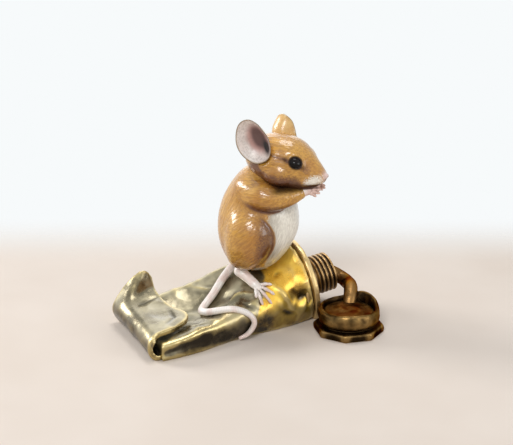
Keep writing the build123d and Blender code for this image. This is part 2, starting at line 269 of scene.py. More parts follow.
def store(obj, name, values):
    kind, key = ("FLOAT", "value") if values.ndim == 1 else ("FLOAT_VECTOR", "vector")
    layer = obj.data.attributes.new(name, kind, "POINT")
    layer.data.foreach_set(key, values.astype(np.float32).ravel())


# Stores masks, kept between 0 and 1
def storeMasks(obj, **masks):
    for name, values in masks.items():
        store(obj, name, np.clip(values, 0, 1))


# Mean of each point's neighbours, for one column of values
def neighbourMean(obj):
    mesh = obj.data
    ends = np.empty(len(mesh.edges) * 2, np.int32)
    mesh.edges.foreach_get("vertices", ends)
    a, b = ends.reshape(-1, 2).T
    size = len(mesh.vertices)
    count = np.maximum(np.bincount(a, minlength=size) + np.bincount(b, minlength=size), 1)

    def eased(values):
        return (np.bincount(a, values[b], size) + np.bincount(b, values[a], size)) / count

    return eased


# Skin eased round by round, only as far as the weight says
def easedPoints(obj, weight, rounds):
    eased = neighbourMean(obj)
    columns = pointsOf(obj).T.copy()
    for k in range(rounds):
        columns = np.stack([row + weight * (eased(row) - row) for row in columns])
    return columns.T


# Marks raised edges and hollows, as the surface against a smoothed one, and painted shade on flanks that face
# low
def storeEdges(obj, rounds, edgeHeight, hollowDepth, lift=0.0):
    eased = neighbourMean(obj)
    bend = ((pointsOf(obj) - easedPoints(obj, 1.0, rounds)) * normalsOf(obj)).sum(1)
    for k in range(2):
        bend = eased(bend)
    storeMasks(obj, flank=fadeOut(0.0, 0.6, normalsOf(obj)[:, 2] + lift), edge=bend / edgeHeight,
               hollow=-bend / hollowDepth)


# Piece takes its place on the frame and stands for its CAD nodes
def settle(obj, place, material, slotName, *nodes):
    obj.data.transform(toMetres @ place)
    obj.data.materials.clear()
    obj.data.materials.append(material)
    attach(obj, "root")
    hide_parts(*nodes)
    print("piece:", obj.name, len(obj.data.polygons), "faces")


# Small tools for materials

def tone(red, green, blue):
    line = [v / 255 / 12.92 if v < 10.5 else ((v / 255 + 0.055) / 1.055) ** 2.4 for v in (red, green, blue)]
    return (*line, 1.0)


def plug(tree, value, socket):
    if isinstance(value, bpy.types.NodeSocket):
        tree.links.new(value, socket)
    else:
        socket.default_value = value


def feed(tree, node, inputs):
    for name, value in inputs.items():
        plug(tree, value, node.inputs[name])


def put(tree, kind, inputs, **settings):
    node = tree.nodes.new(kind)
    for name, value in settings.items():
        setattr(node, name, value)
    feed(tree, node, inputs)
    return node


def mixTone(tree, share, first, second):
    return put(tree, "ShaderNodeMix", {0: share, 6: first, 7: second}, data_type="RGBA").outputs[2]


# Colours laid over a base one after the other, each with its share
def layers(tree, base, *rows):
    for share, colour in rows:
        base = mixTone(tree, share, base, colour)
    return base


def calc(tree, operation, first, second=0.5, clamp=False):
    return put(tree, "ShaderNodeMath", {0: first, 1: second}, operation=operation, use_clamp=clamp).outputs[0]


def times(tree, first, second, clamp=False):
    return calc(tree, "MULTIPLY", first, second, clamp)


def spread(tree, value, low, high, newLow=0.0, newHigh=1.0):
    inputs = {"Value": value, "From Min": low, "From Max": high, "To Min": newLow, "To Max": newHigh}
    return put(tree, "ShaderNodeMapRange", inputs, interpolation_type="SMOOTHSTEP").outputs[0]


def mark(tree, name, output="Fac"):
    return put(tree, "ShaderNodeAttribute", {}, attribute_name=name).outputs[output]


def objectPlace(tree):
    return put(tree, "ShaderNodeTexCoord", {}).outputs["Object"]


def cloud(tree, place, scale, detail=3.0, rough=0.55):
    inputs = {"Vector": place, "Scale": scale, "Detail": detail, "Roughness": rough}
    return put(tree, "ShaderNodeTexNoise", inputs).outputs["Fac"]


def newMaterial(name):
    material = bpy.data.materials.new(name)
    material.use_nodes = True
    tree = material.node_tree
    return material, tree, tree.nodes["Principled BSDF"]


def bumpInto(tree, shader, height, strength, distance):
    bump = put(tree, "ShaderNodeBump", {"Height": height, "Strength": strength, "Distance": distance})
    tree.links.new(bump.outputs[0], shader.inputs["Normal"])


def newGroup(name, inputs, outputs):
    group = bpy.data.node_groups.new(name, "ShaderNodeTree")
    for socketName, kind in inputs.items():
        group.interface.new_socket(name=socketName, in_out="INPUT", socket_type=kind)
    for socketName in outputs:
        group.interface.new_socket(name=socketName, in_out="OUTPUT", socket_type="NodeSocketFloat")
    return group, group.nodes.new("NodeGroupInput").outputs, group.nodes.new("NodeGroupOutput")


def placeGroup(tree, group, **inputs):
    return put(tree, "ShaderNodeGroup", inputs, node_tree=group).outputs


# Modelled strokes of fur: they follow the flow that the skin carries
def makeFurStrokes():
    group, into, out = newGroup("furStrokes", {"Flow": "NodeSocketVector", "Scale": "NodeSocketFloat"},
                                ["Stroke", "Fine"])
    broad = cloud(group, into["Flow"], into["Scale"], 2.0, 0.5)
    fine = cloud(group, into["Flow"], times(group, into["Scale"], 2.6), 2.0, 0.6)
    feed(group, out, {"Stroke": spread(group, broad, 0.34, 0.66), "Fine": spread(group, fine, 0.3, 0.7)})
    return group


# Wear on cast edges, and patina with painted shade in hollows, both broken up by a mottle
def makeCastWear():
    group, into, out = newGroup("castWear", {"Scale": "NodeSocketFloat", "Reach": "NodeSocketFloat"},
                                ["Edge", "Hollow", "Mottle", "Grain"])
    where = objectPlace(group)
    mottle = cloud(group, where, into["Scale"], 4.0, 0.6)
    grain = cloud(group, where, times(group, into["Scale"], 9.0), 3.0, 0.65)
    broken = times(group, mark(group, "edge"), spread(group, mottle, 0.25, 0.6, 0.7, 1.15))
    reach = calc(group, "SUBTRACT", 1.0, into["Reach"])
    edge = put(group, "ShaderNodeMapRange", {"Value": broken, "From Min": times(group, reach, 0.4),
                                            "From Max": calc(group, "ADD", reach, 0.35)}).outputs[0]
    hollow = times(group, mark(group, "hollow"), spread(group, mottle, 0.2, 0.7, 0.7, 1.2), clamp=True)
    feed(group, out, {"Edge": edge, "Hollow": hollow, "Mottle": spread(group, mottle, 0.3, 0.7),
                      "Grain": grain})
    return group


furStrokes = makeFurStrokes()
castWear = makeCastWear()


furLook = {
    "light": tone(214, 162, 70), "mid": tone(180, 121, 42), "deep": tone(116, 64, 26),
    "shade": tone(86, 40, 23), "cream": tone(250, 246, 234), "creamShade": tone(158, 149, 134),
    "pink": tone(226, 198, 190), "line": tone(30, 20, 16), "strokeScale": 1.5, "patchScale": 90.0,
    "fineShare": 0.45, "strokeShare": 0.38, "bellyStroke": 0.28, "duskShare": 0.75, "ragged": 0.5,
    "raggedShade": 0.35, "rough": (0.30, 0.48), "specular": 0.15, "lacquer": 0.85, "lacquerRough": 0.2,
    "lacquerIor": 1.65, "bump": 0.4, "strokeHeight": 0.00022,
}


def makeFurMaterial():
    material, tree, shader = newMaterial("golden fur")
    strokes = placeGroup(tree, furStrokes, Flow=mark(tree, "flow", "Vector"), Scale=furLook["strokeScale"])
    stroke, fine = strokes["Stroke"], strokes["Fine"]
    uneven = calc(tree, "SUBTRACT", fine, 0.5)
    pale, dark = mark(tree, "pale"), mark(tree, "dark")
    patches = spread(tree, cloud(tree, objectPlace(tree), furLook["patchScale"]), 0.35, 0.65)
    coat = layers(tree, furLook["mid"], (patches, furLook["light"]),
                  (times(tree, fine, furLook["fineShare"]), furLook["light"]),
                  (times(tree, stroke, furLook["strokeShare"]), furLook["deep"]))
    # painted shade on the belly: its cream turns to the shaded tone low down, under the arm and towards the
    # side
    dusk = times(tree, mark(tree, "dusk"), furLook["duskShare"])
    dusk = calc(tree, "ADD", times(tree, stroke, furLook["bellyStroke"]), dusk, clamp=True)
    belly = mixTone(tree, dusk, furLook["cream"], furLook["creamShade"])
    feather = calc(tree, "ADD", pale, times(tree, uneven, furLook["ragged"]))
    # painted shade in the fur's hollows, weaker on the pale belly
    depth = times(tree, mark(tree, "hollow"), spread(tree, pale, 0.3, 0.9, 0.92, 0.45))
    # painted shade from the shade mask, its edges broken by the strokes
    raggedShade = calc(tree, "ADD", mark(tree, "shade"), times(tree, uneven, furLook["raggedShade"]))
    # the line tone is the dark of the mouth, lids and eye corners, and also painted shadow under the jaw and
    # on the arm below the chin
    skin = layers(tree, coat, (spread(tree, feather, 0.32, 0.7), belly), (depth, furLook["shade"]),
                  (spread(tree, raggedShade, 0.05, 0.75, 0.0, 0.92), furLook["shade"]),
                  (mark(tree, "pink"), furLook["pink"]), (dark, furLook["line"]))
    feed(tree, shader, {"Base Color": skin, "Roughness": spread(tree, stroke, 0.0, 1.0, *furLook["rough"]),
                        "Specular IOR Level": furLook["specular"],
                        "Coat Weight": spread(tree, dark, 0.0, 0.8, furLook["lacquer"], 0.0),
                        "Coat Roughness": furLook["lacquerRough"], "Coat IOR": furLook["lacquerIor"]})
    height = calc(tree, "ADD", stroke, times(tree, fine, 0.5))
    bumpInto(tree, shader, height, furLook["bump"], furLook["strokeHeight"])
    return material


skinLook = {
    "pale": tone(244, 238, 232), "blush": tone(230, 204, 194), "shade": tone(104, 72, 60),
    "warm": tone(206, 160, 142), "ringCount": 1.6, "blotchScale": 260.0, "poreScale": 2600.0,
    "rough": (0.3, 0.42), "lacquer": 0.4, "lacquerRough": 0.15, "bump": 0.3, "ringHeight": 0.00012,
}


def makeSkinMaterial():
    material, tree, shader = newMaterial("pale skin")
    where = objectPlace(tree)
    blotch = spread(tree, cloud(tree, where, skinLook["blotchScale"]), 0.38, 0.64)
    pores = cloud(tree, where, skinLook["poreScale"], 2.0)
    rings = calc(tree, "SINE", times(tree, mark(tree, "along"), 2 * pi * skinLook["ringCount"]))
    # the tail's rings are its own marks; the hollows between digits take painted shade
    skin = layers(tree, skinLook["pale"], (times(tree, blotch, 0.7), skinLook["blush"]),
                  (mark(tree, "warm"), skinLook["warm"]),
                  (times(tree, spread(tree, rings, 0.2, 1.0), 0.1), skinLook["shade"]),
                  (times(tree, mark(tree, "hollow"), 0.95), skinLook["shade"]))
    feed(tree, shader, {"Base Color": skin, "Roughness": spread(tree, blotch, 0.0, 1.0, *skinLook["rough"]),
                        "Coat Weight": skinLook["lacquer"], "Coat Roughness": skinLook["lacquerRough"]})
    height = calc(tree, "ADD", times(tree, rings, -0.5), pores)
    bumpInto(tree, shader, height, skinLook["bump"], skinLook["ringHeight"])
    return material


earLook = {
    "outside": tone(240, 208, 138), "rim": tone(250, 244, 238), "pink": tone(196, 156, 148),
    "mauve": tone(92, 66, 64), "canal": tone(18, 18, 22), "stipple": tone(120, 106, 98),
    "edge": tone(62, 50, 46), "fineScale": 700.0, "blotchScale": 220.0, "veinScale": 420.0,
    "stippleScale": 1500.0, "rough": (0.34, 0.5), "lacquer": (0.7, 0.12), "lacquerRough": 0.2, "bump": 0.25,
}


def makeEarMaterial():
    material, tree, shader = newMaterial("ear paint")
    where = objectPlace(tree)
    inside, rimShare = mark(tree, "inside"), mark(tree, "rimShare")
    fine = cloud(tree, where, earLook["fineScale"], 3.0, 0.6)
    blotch = spread(tree, cloud(tree, where, earLook["blotchScale"]), 0.35, 0.65)
    veins = spread(tree, cloud(tree, where, earLook["veinScale"], 2.0), 0.44, 0.5)
    dots = times(tree, spread(tree, cloud(tree, where, earLook["stippleScale"], 2.0), 0.5, 0.62), rimShare)
    bowl = layers(tree, earLook["pink"], (rimShare, earLook["rim"]),
                  (times(tree, blotch, 0.2), earLook["pink"]), (times(tree, veins, 0.12), earLook["mauve"]),
                  (times(tree, dots, 0.22), earLook["stipple"]), (mark(tree, "mauve"), earLook["mauve"]),
                  (mark(tree, "dark"), earLook["canal"]))
    outside = mixTone(tree, fine, earLook["outside"], furLook["mid"])
    # painted shade along the ear's rolled rim, in the edge tone
    skin = layers(tree, outside, (inside, bowl), (mark(tree, "lip"), earLook["edge"]))
    feed(tree, shader, {"Base Color": skin, "Roughness": spread(tree, fine, 0.2, 0.8, *earLook["rough"]),
                        "Coat Weight": spread(tree, inside, 0.0, 1.0, *earLook["lacquer"]),
                        "Coat Roughness": earLook["lacquerRough"]})
    bumpInto(tree, shader, fine, earLook["bump"], 0.0002)
    return material


eyeLook = {"black": tone(4, 3, 3), "brown": tone(22, 12, 8), "rough": (0.02, 0.05), "specular": 0.2,
           "bump": 0.04}


def makeEyeMaterial():
    material, tree, shader = newMaterial("black eye")
    where = objectPlace(tree)
    depth = spread(tree, cloud(tree, where, 500.0), 0.35, 0.7)
    feed(tree, shader, {"Base Color": mixTone(tree, depth, eyeLook["black"], eyeLook["brown"]),
                        "Roughness": spread(tree, depth, 0.0, 1.0, *eyeLook["rough"]),
                        "Specular IOR Level": eyeLook["specular"]})
    bumpInto(tree, shader, cloud(tree, where, 900.0), eyeLook["bump"], 0.0001)
    return material


# Bronze: patina, rubbed surface and polished edges, patina with painted shade in hollows, painted shade on
# low flanks; each casting changes some of these values
castLook = {
    "mottleScale": 240.0, "reach": 0.5, "hollowPatinaAndShade": 0.9, "polish": 0.8, "rough": (0.26, 0.4), "metallic": 0.9,
    "lacquer": 0.2, "lacquerRough": 0.18, "bump": 0.2, "edgeTint": (1.0, 1.0, 1.0, 1.0),
}
tubeLook = {
    **castLook, "patina": tone(106, 97, 75), "rubbed": tone(166, 156, 128), "deep": tone(20, 17, 12),
    "gold": tone(212, 190, 128), "flank": 1.0, "dark": tone(44, 37, 26), "label": tone(250, 210, 84),
    "labelDeep": tone(222, 166, 44), "labelMetal": 0.5, "mottleScale": 90.0, "reach": 0.45, "polish": 0.6,
    "rough": (0.2, 0.32), "metallic": 0.92, "lacquer": 0.25, "bump": 0.16,
}
ringLook = {
    **castLook, "patina": tone(146, 119, 74), "rubbed": tone(184, 156, 106), "deep": tone(28, 20, 12),
    "gold": tone(216, 188, 132), "flank": 0.15, "dark": tone(56, 42, 24), "mottleScale": 260.0,
    "polish": 0.85,
}
capLook = {
    **castLook, "patina": tone(44, 32, 18), "rubbed": tone(62, 46, 27), "deep": tone(12, 8, 5),
    "gold": tone(150, 119, 72), "flank": 0.6, "dark": tone(34, 25, 14), "hollowPatinaAndShade": 0.85, "rough": (0.24, 0.38),
    "metallic": 1.0, "lacquer": 0.0, "bump": 0.26, "edgeTint": tone(170, 136, 96),
}
neckLook = {
    **castLook, "patina": tone(88, 67, 42), "rubbed": tone(122, 95, 62), "deep": tone(16, 11, 6),
    "gold": tone(176, 142, 94), "flank": 0.2, "dark": tone(44, 32, 18), "hollowPatinaAndShade": 0.95, "lacquer": 0.15,
}
paintLook = {
    **castLook, "patina": tone(68, 47, 26), "rubbed": tone(98, 71, 42), "deep": tone(22, 14, 7),
    "gold": tone(152, 116, 70), "flank": 0.45, "dark": tone(40, 26, 14), "mottleScale": 210.0, "polish": 0.6,
    "rough": (0.28, 0.42), "metallic": 1.0, "lacquer": 0.0, "edgeTint": tone(164, 134, 100),
}
pinLook = {
    **castLook, "patina": tone(150, 118, 60), "rubbed": tone(190, 156, 88), "deep": tone(70, 50, 24),
    "gold": tone(226, 196, 120), "flank": 0.3, "dark": tone(90, 66, 32), "mottleScale": 400.0, "hollowPatinaAndShade": 0.5,
    "polish": 0.5, "rough": (0.25, 0.4), "metallic": 1.0, "lacquer": 0.0, "bump": 0.1,
}


def makeBronze(name, look):
    material, tree, shader = newMaterial(name)
    wear = placeGroup(tree, castWear, Scale=look["mottleScale"], Reach=look["reach"])
    mottle, grain = wear["Mottle"], wear["Grain"]
    metal, metallic = mixTone(tree, mottle, look["patina"], look["rubbed"]), look["metallic"]
    if "label" in look:
        zone = mark(tree, "label")
        metal = mixTone(tree, zone, metal, mixTone(tree, mottle, look["labelDeep"], look["label"]))
        metallic = spread(tree, zone, 0.0, 1.0, look["metallic"], look["labelMetal"])
    # painted shade: surfaces that face low take the dark tone, a little less where the mottle is high
    low = times(tree, mark(tree, "flank"), spread(tree, mottle, 0.0, 1.0, look["flank"], 0.7 * look["flank"]))
    # hollows take the deep tone as patina and painted shade, and polished edges the gold
    metal = layers(tree, metal, (low, look["dark"]),
                   (times(tree, wear["Hollow"], look["hollowPatinaAndShade"]), look["deep"]),
                   (times(tree, wear["Edge"], look["polish"]), look["gold"]))
    rough = calc(tree, "ADD", spread(tree, mottle, 0.0, 1.0, *look["rough"]), times(tree, grain, 0.1))
    feed(tree, shader, {"Base Color": metal, "Roughness": rough, "Metallic": metallic,
                        "Specular Tint": look["edgeTint"], "Coat Weight": look["lacquer"],
                        "Coat Roughness": look["lacquerRough"]})
    bumpInto(tree, shader, calc(tree, "ADD", mottle, times(tree, grain, 0.35)), look["bump"], 0.0004)
    return material


goldenFur = makeFurMaterial()
paleSkin = makeSkinMaterial()
earPaint = makeEarMaterial()
blackEye = makeEyeMaterial()
tubeBronze = makeBronze("tube bronze", tubeLook)
ringBronze = makeBronze("shoulder bronze", ringLook)
neckBronze = makeBronze("neck bronze", neckLook)
capBronze = makeBronze("cap bronze", capLook)
paintBronze = makeBronze("paint bronze", paintLook)
pinBrass = makeBronze("pin brass", pinLook)
print("materials:", len(bpy.data.materials))


# Mouse frame: x forward, y to its left, z up from the seat
mouse = {
    "seat": (0.8, 0.0, 21.5), "heading": -44.0,
    "headPivot": (6.0, 0.0, 44.0), "headTurn": -10.0, "headRoll": -4.0,
}
seatPlace = Matrix.Translation(mouse["seat"])
mousePlace = seatPlace @ Matrix.Rotation(radians(mouse["heading"]), 4, "Z")
headTilt = Matrix.Rotation(radians(mouse["headTurn"]), 4, "Z")
headTilt = headTilt @ Matrix.Rotation(radians(mouse["headRoll"]), 4, "X")
headPivot = Matrix.Translation(mouse["headPivot"])
headPlace = mousePlace @ headPivot @ headTilt @ headPivot.inverted()
worldPlace = Matrix.Identity(4)

body = {
    "torso": [(0.4, -2.6, 5.4, 6.4), (3.0, -2.2, 9.2, 9.6), (7.4, -1.6, 12.4, 12.4), (12.8, -0.9, 14.8, 13.9),
              (18.6, -0.2, 15.8, 14.2), (24.6, 0.1, 15.2, 13.4), (30.4, 0.4, 13.4, 11.8),
              (35.6, 0.9, 10.8, 9.8), (40.0, 1.4, 7.6, 7.2), (42.6, 1.6, 3.8, 3.8)],
    "haunchSide": 10.6,
    "haunch": [(3.2, -3.0, 4.4, 3.2), (7.4, -1.6, 7.4, 5.6), (13.4, -0.2, 9.2, 7.2), (19.4, 0.2, 9.0, 7.0),
               (24.4, -0.4, 6.6, 5.4), (27.0, -0.8, 2.8, 2.4)],
    "arm": [(-0.6, 8.2, 34.6, 4.4), (3.6, 9.8, 33.4, 5.4), (9.0, 9.6, 32.4, 5.0), (13.8, 7.4, 32.8, 3.9),
            (17.8, 4.8, 34.0, 2.7)],
    "shoulder": ((-1.0, 6.4, 33.6), (7.4, 5.2, 6.6)), "rearEasing": 140,
    "voxel": 0.36, "easing": 7, "strokeDepth": 0.10, "strokeWidth": 0.95, "strokeShift": 7.0,
    "torsoFlow": (-0.45, 0.0, -0.89), "haunchFlow": (-0.8, 0.0, -0.6), "armFlow": (0.98, -0.15, 0.1),
    "bellyAngle": 60, "bellyNarrowing": 22,
    "haunchShade": 0.62, "armShade": 0.8, "rumpShade": 0.42, "chinShade": 0.85,
    # spots: place, radius, strength
    "shadeSpots": [((13.0, 4.0, 38.0), 4.6, 0.95), ((2.0, 11.0, 38.5), 3.4, 0.4),
                   ((10.0, 8.4, 38.2), 3.4, 0.8)],
}


# Flow coordinates: the way along the fur is shortened, so that marks stretch along it
def flowAlong(points, way, squeeze=0.84):
    way = np.array(way) / np.linalg.norm(way)
    return points - squeeze * (points @ way)[:, None] * way


def furMarks(obj, flow, values, calm=1.0):
    broad = noiseAt(flow / values["strokeWidth"])
    fine = noiseAt(flow / values["strokeWidth"] * 2.1 + values["strokeShift"])
    pushOut(obj, values["strokeDepth"] * calm * (0.65 * broad + 0.35 * fine))


def makeBody():
    haunch = ovalStack(body["haunch"], body["haunchSide"])
    limbs = bothSides(haunch, roundLimb(body["arm"]), ball(*body["shoulder"]))
    obj = fuse("fur_body", [ovalStack(body["torso"])] + limbs, body)
    x, y, z = pointsOf(obj).T
    rear = fadeOut(-4.0, 4.0, x - 0.25 * np.clip(z - 20, 0, 8))
    rear = np.maximum(rear, smoothStep(19.0, 24.0, z) * fadeOut(1.0, 6.0, x))
    movePoints(obj, easedPoints(obj, 0.9 * rear, body["rearEasing"]))
    p = pointsOf(obj)
    sided = foldSides(p)
    x, y, z = sided.T
    armShare = fadeOut(0.2, 1.6, gapToLimb(sided, throughPoints(body["arm"], 4)))
    levels = throughPoints(body["haunch"], 5)
    middle, deep, wide = [np.interp(z, levels[:, 0], levels[:, k]) for k in (1, 2, 3)]
    oval = ((x - middle) / deep) ** 2 + ((y - body["haunchSide"]) / wide) ** 2
    haunchShare = fadeOut(1.05, 1.4, oval) * smoothStep(1.5, 4.0, z) * fadeOut(26.5, 28.5, z)
    flow = flowAlong(p, body["torsoFlow"])
    flow += haunchShare[:, None] * (flowAlong(p, body["haunchFlow"]) - flow)
    flow += armShare[:, None] * (flowAlong(p, body["armFlow"]) - flow)
    bearing = np.degrees(np.arctan2(y, x - 0.5))
    limit = body["bellyAngle"] - body["bellyNarrowing"] * smoothStep(24, 34, z)
    pale = fadeOut(limit - 14, limit + 10, bearing) * (1 - haunchShare) * (1 - armShare)
    pale *= fadeOut(31.0, 35.5, z)
    pale = np.maximum(pale, fadeOut(2.0, 5.0, z) * fadeOut(70, 110, bearing))
    shade = body["haunchShade"] * haunchShare * smoothStep(2.5, 8.0, x) * smoothStep(0.5, 1.05, oval)
    shade += body["armShade"] * armShare * fadeOut(28.0, 32.5, z) + spotSum(sided, body["shadeSpots"])
    shade += body["rumpShade"] * (1 - pale) * fadeOut(3.0, 18.0, z)
    # painted belly shade: low down, under the arm and towards the side
    dusk = 0.8 * fadeOut(5.0, 15.0, z) + 0.6 * smoothStep(24.5, 29.0, z) + 0.7 * smoothStep(26, 58, bearing)
    dark = body["chinShade"] * armShare * smoothStep(34.4, 36.2, z) * smoothStep(8.0, 12.0, x)
    storeEdges(obj, 26, 0.5, 0.34)
    furMarks(obj, flow, body)
    store(obj, "flow", flow)
    storeMasks(obj, pale=pale, shade=shade, dusk=dusk, pink=np.zeros(len(p)), dark=dark)
    settle(obj, mousePlace, goldenFur, "golden_fur",
           "torso", "haunch_left", "haunch_right", "foreleg_left", "foreleg_right")


head = {
    "skull": [(-4.4, 45.4, 1.6, 1.4), (-3.4, 45.4, 5.0, 4.4), (0.4, 45.2, 8.2, 7.6), (5.2, 44.8, 9.9, 9.6),
              (10.4, 44.4, 10.2, 10.3), (15.8, 43.9, 8.9, 9.7), (20.4, 42.9, 6.7, 7.9),
              (24.0, 41.9, 4.6, 5.3), (26.9, 41.2, 2.9, 2.9), (28.2, 41.2, 1.5, 1.4)],
    "cheek": ((11.5, 5.4, 41.6), (6.6, 5.4, 5.6)), "pad": ((24.6, 1.7, 40.3), (2.9, 1.9, 1.9)),
    "nose": ((28.2, 0.0, 41.7), (1.1, 1.3, 1.0)), "chin": ((21.4, 0.0, 37.9), (2.8, 2.0, 1.2)),
    "eye": (18.1, 5.5, 46.2), "eyeRadius": 2.6, "eyeRadii": (2.85, 2.65, 2.3), "eyeTilt": 22.0,
    "eyeLens": 0.12, "voxel": 0.3, "easing": 6, "strokeDepth": 0.1, "strokeWidth": 0.85, "strokeShift": 3.0,
    "flow": (1.0, 0.0, 0.12), "lidHeight": 0.45, "mouthDepth": 0.5, "lipDepth": 0.35,
    # spots: place, radius, strength
    "relief": [((16.6, 6.4, 50.0), 2.8, 0.3), ((22.0, 4.6, 45.0), 2.2, -0.4),
               ((13.0, 9.0, 47.6), 3.0, -0.35)],
    "paleSpots": [((25.4, 2.2, 40.2), 3.5, 0.82), ((22.2, 3.6, 38.8), 2.4, 0.5)],
    "shadeSpots": [((22.4, 4.8, 43.8), 2.0, 0.45), ((3.0, 9.4, 43.0), 3.2, 0.8)],
    "eyeCorners": [((20.9, 5.4, 44.9), 1.0, 1.0), ((15.2, 7.8, 47.2), 1.1, 0.8)],
    "pinkSpots": [((28.8, 0.0, 41.6), 1.7, 1.5)],
    "streak": [(20.6, 6.4, 45.0), (15.2, 8.8, 47.6), (9.4, 9.9, 48.8)], "streakWidth": 0.8,
}


def eyeTurn():
    return np.array(Matrix.Rotation(radians(head["eyeTilt"]), 3, "Y"))


def makeHead():
    angles = circle(48)
    rings = []
    for x, z, wide, high in throughPoints(head["skull"], 5):
        rings.append(np.stack([np.full(48, x), wide * np.cos(angles), z + high * np.sin(angles)], 1))
    parts = [skinRings(rings)] + bothSides(ball(*head["cheek"]), ball(*head["pad"]))
    obj = fuse("fur_head", parts + [ball(*head["nose"]), ball(*head["chin"])], head)
    sided = foldSides(pointsOf(obj))
    eyeGap = np.linalg.norm((sided - np.array(head["eye"])) @ eyeTurn() / np.array(head["eyeRadii"]), axis=1)
    eyeGap *= head["eyeRadius"]
    rim = np.exp(-((eyeGap - head["eyeRadius"] - 0.4) / 0.55) ** 2)
    pushOut(obj, head["lidHeight"] * rim + spotSum(sided, head["relief"]))
    x, y, z = pointsOf(obj).T
    mouthLevel = 37.3 + 0.012 * (x - 19.0) ** 2
    mouth = np.exp(-((z - mouthLevel) / 0.42) ** 2) * smoothStep(19.5, 23.0, x)
    lipSplit = np.exp(-(y / 0.35) ** 2) * smoothStep(26.5, 27.5, x) * fadeOut(40.4, 41.0, z)
    sinkBehindEars(obj)
    p = pointsOf(obj)
    sided = foldSides(p)
    x, y, z = sided.T
    storeEdges(obj, 24, 0.5, 0.34)
    pushOut(obj, -head["mouthDepth"] * mouth - head["lipDepth"] * lipSplit)
    flow = flowAlong(p, head["flow"])
    furMarks(obj, flow, head, 1 - np.clip(rim + near(p, head["nose"][0], 2.2), 0, 1))
    pale = spotSum(sided, head["paleSpots"]) * smoothStep(-0.5, 0.3, z - mouthLevel) * fadeOut(41.2, 44.0, z)
    # dark of the mouth, lids and eye corners, and painted shadow under the jaw and below the mouth
    darkAreas = [0.8 * mouth + 0.8 * lipSplit,
                 fadeOut(head["eyeRadius"] + 0.1, head["eyeRadius"] + 0.7, eyeGap),
                 np.clip(spotSum(sided, head["eyeCorners"]), 0, 0.9),
                 0.7 * fadeOut(37.0, 39.6, z) * smoothStep(8.0, 13.0, x),
                 0.5 * fadeOut(-1.0, 0.0, z - mouthLevel) * smoothStep(14, 18, x)]
    shade = 0.9 * fadeOut(38.0, 44.4, z + 0.06 * (x - 10)) * fadeOut(19, 23, x)
    shade = np.maximum(shade, fadeOut(-0.6, 0.2, z - mouthLevel + 4 * fadeOut(17, 20, x)))
    streakGap = alongRun(sided, head["streak"])[0]
    shade += 0.8 * np.exp(-(streakGap / head["streakWidth"]) ** 2) + spotSum(sided, head["shadeSpots"])
    store(obj, "flow", flow)
    storeMasks(obj, pale=pale, shade=shade, dusk=np.zeros(len(p)), pink=spotSum(p, head["pinkSpots"]),
               dark=np.max(darkAreas, axis=0))
    settle(obj, headPlace, goldenFur, "golden_fur", "head")


# Ears: thin bowls in the head's frame, x up the ear, y across, z out of the bowl
ears = {
    "right": {"place": (4.2, -12.4, 52.5), "facing": (0.22, -0.88, -0.18), "up": (-0.30, -0.20, 0.95),
              "tip": 0.10, "wide": 1.0, "lip": 0.8, "waveShift": 0.0},
    "left": {"place": (5.2, 10.2, 51.2), "facing": (0.24, 0.66, 0.11), "up": (0.10, 0.26, 0.98), "tip": 0.0,
             "wide": 0.86, "lip": 0.2, "waveShift": 5.0},
    "halfWidth": 6.5, "halfHeight": 8.9, "bowl": 4.4, "wall": 0.9, "rows": 34, "sides": 96, "curl": 0.9,
    "wave": 0.64,
}


def earFrame(side):
    outward = Vector(ears[side]["facing"]).normalized()
    up = Vector(ears[side]["up"])
    up = (up - outward * up.dot(outward)).normalized()
    frameOfEar = Matrix((up, outward.cross(up), outward)).transposed().to_4x4()
    frameOfEar.translation = Vector(ears[side]["place"])
    return frameOfEar


def bowlDepth(share):
    return -ears["bowl"] * (1 - share ** 2.4)


# Keeps the skin of the head inside the wall of each ear bowl
def sinkBehindEars(obj):
    for side in ("left", "right"):
        frameOfEar = np.array(earFrame(side))
        turn, spot = frameOfEar[:3, :3], frameOfEar[:3, 3]
        local = (pointsOf(obj) - spot) @ turn
        halfWidth = ears["halfWidth"] * ears[side]["wide"]
        share = np.hypot(local[:, 0] / ears["halfHeight"], local[:, 1] / halfWidth)
        wallMiddle = bowlDepth(np.clip(share, 0, 1)) - 0.5 * ears["wall"]
        local[:, 2] -= np.clip(local[:, 2] - wallMiddle, 0, None) * fadeOut(0.98, 1.06, share)
        movePoints(obj, local @ turn.T + spot)


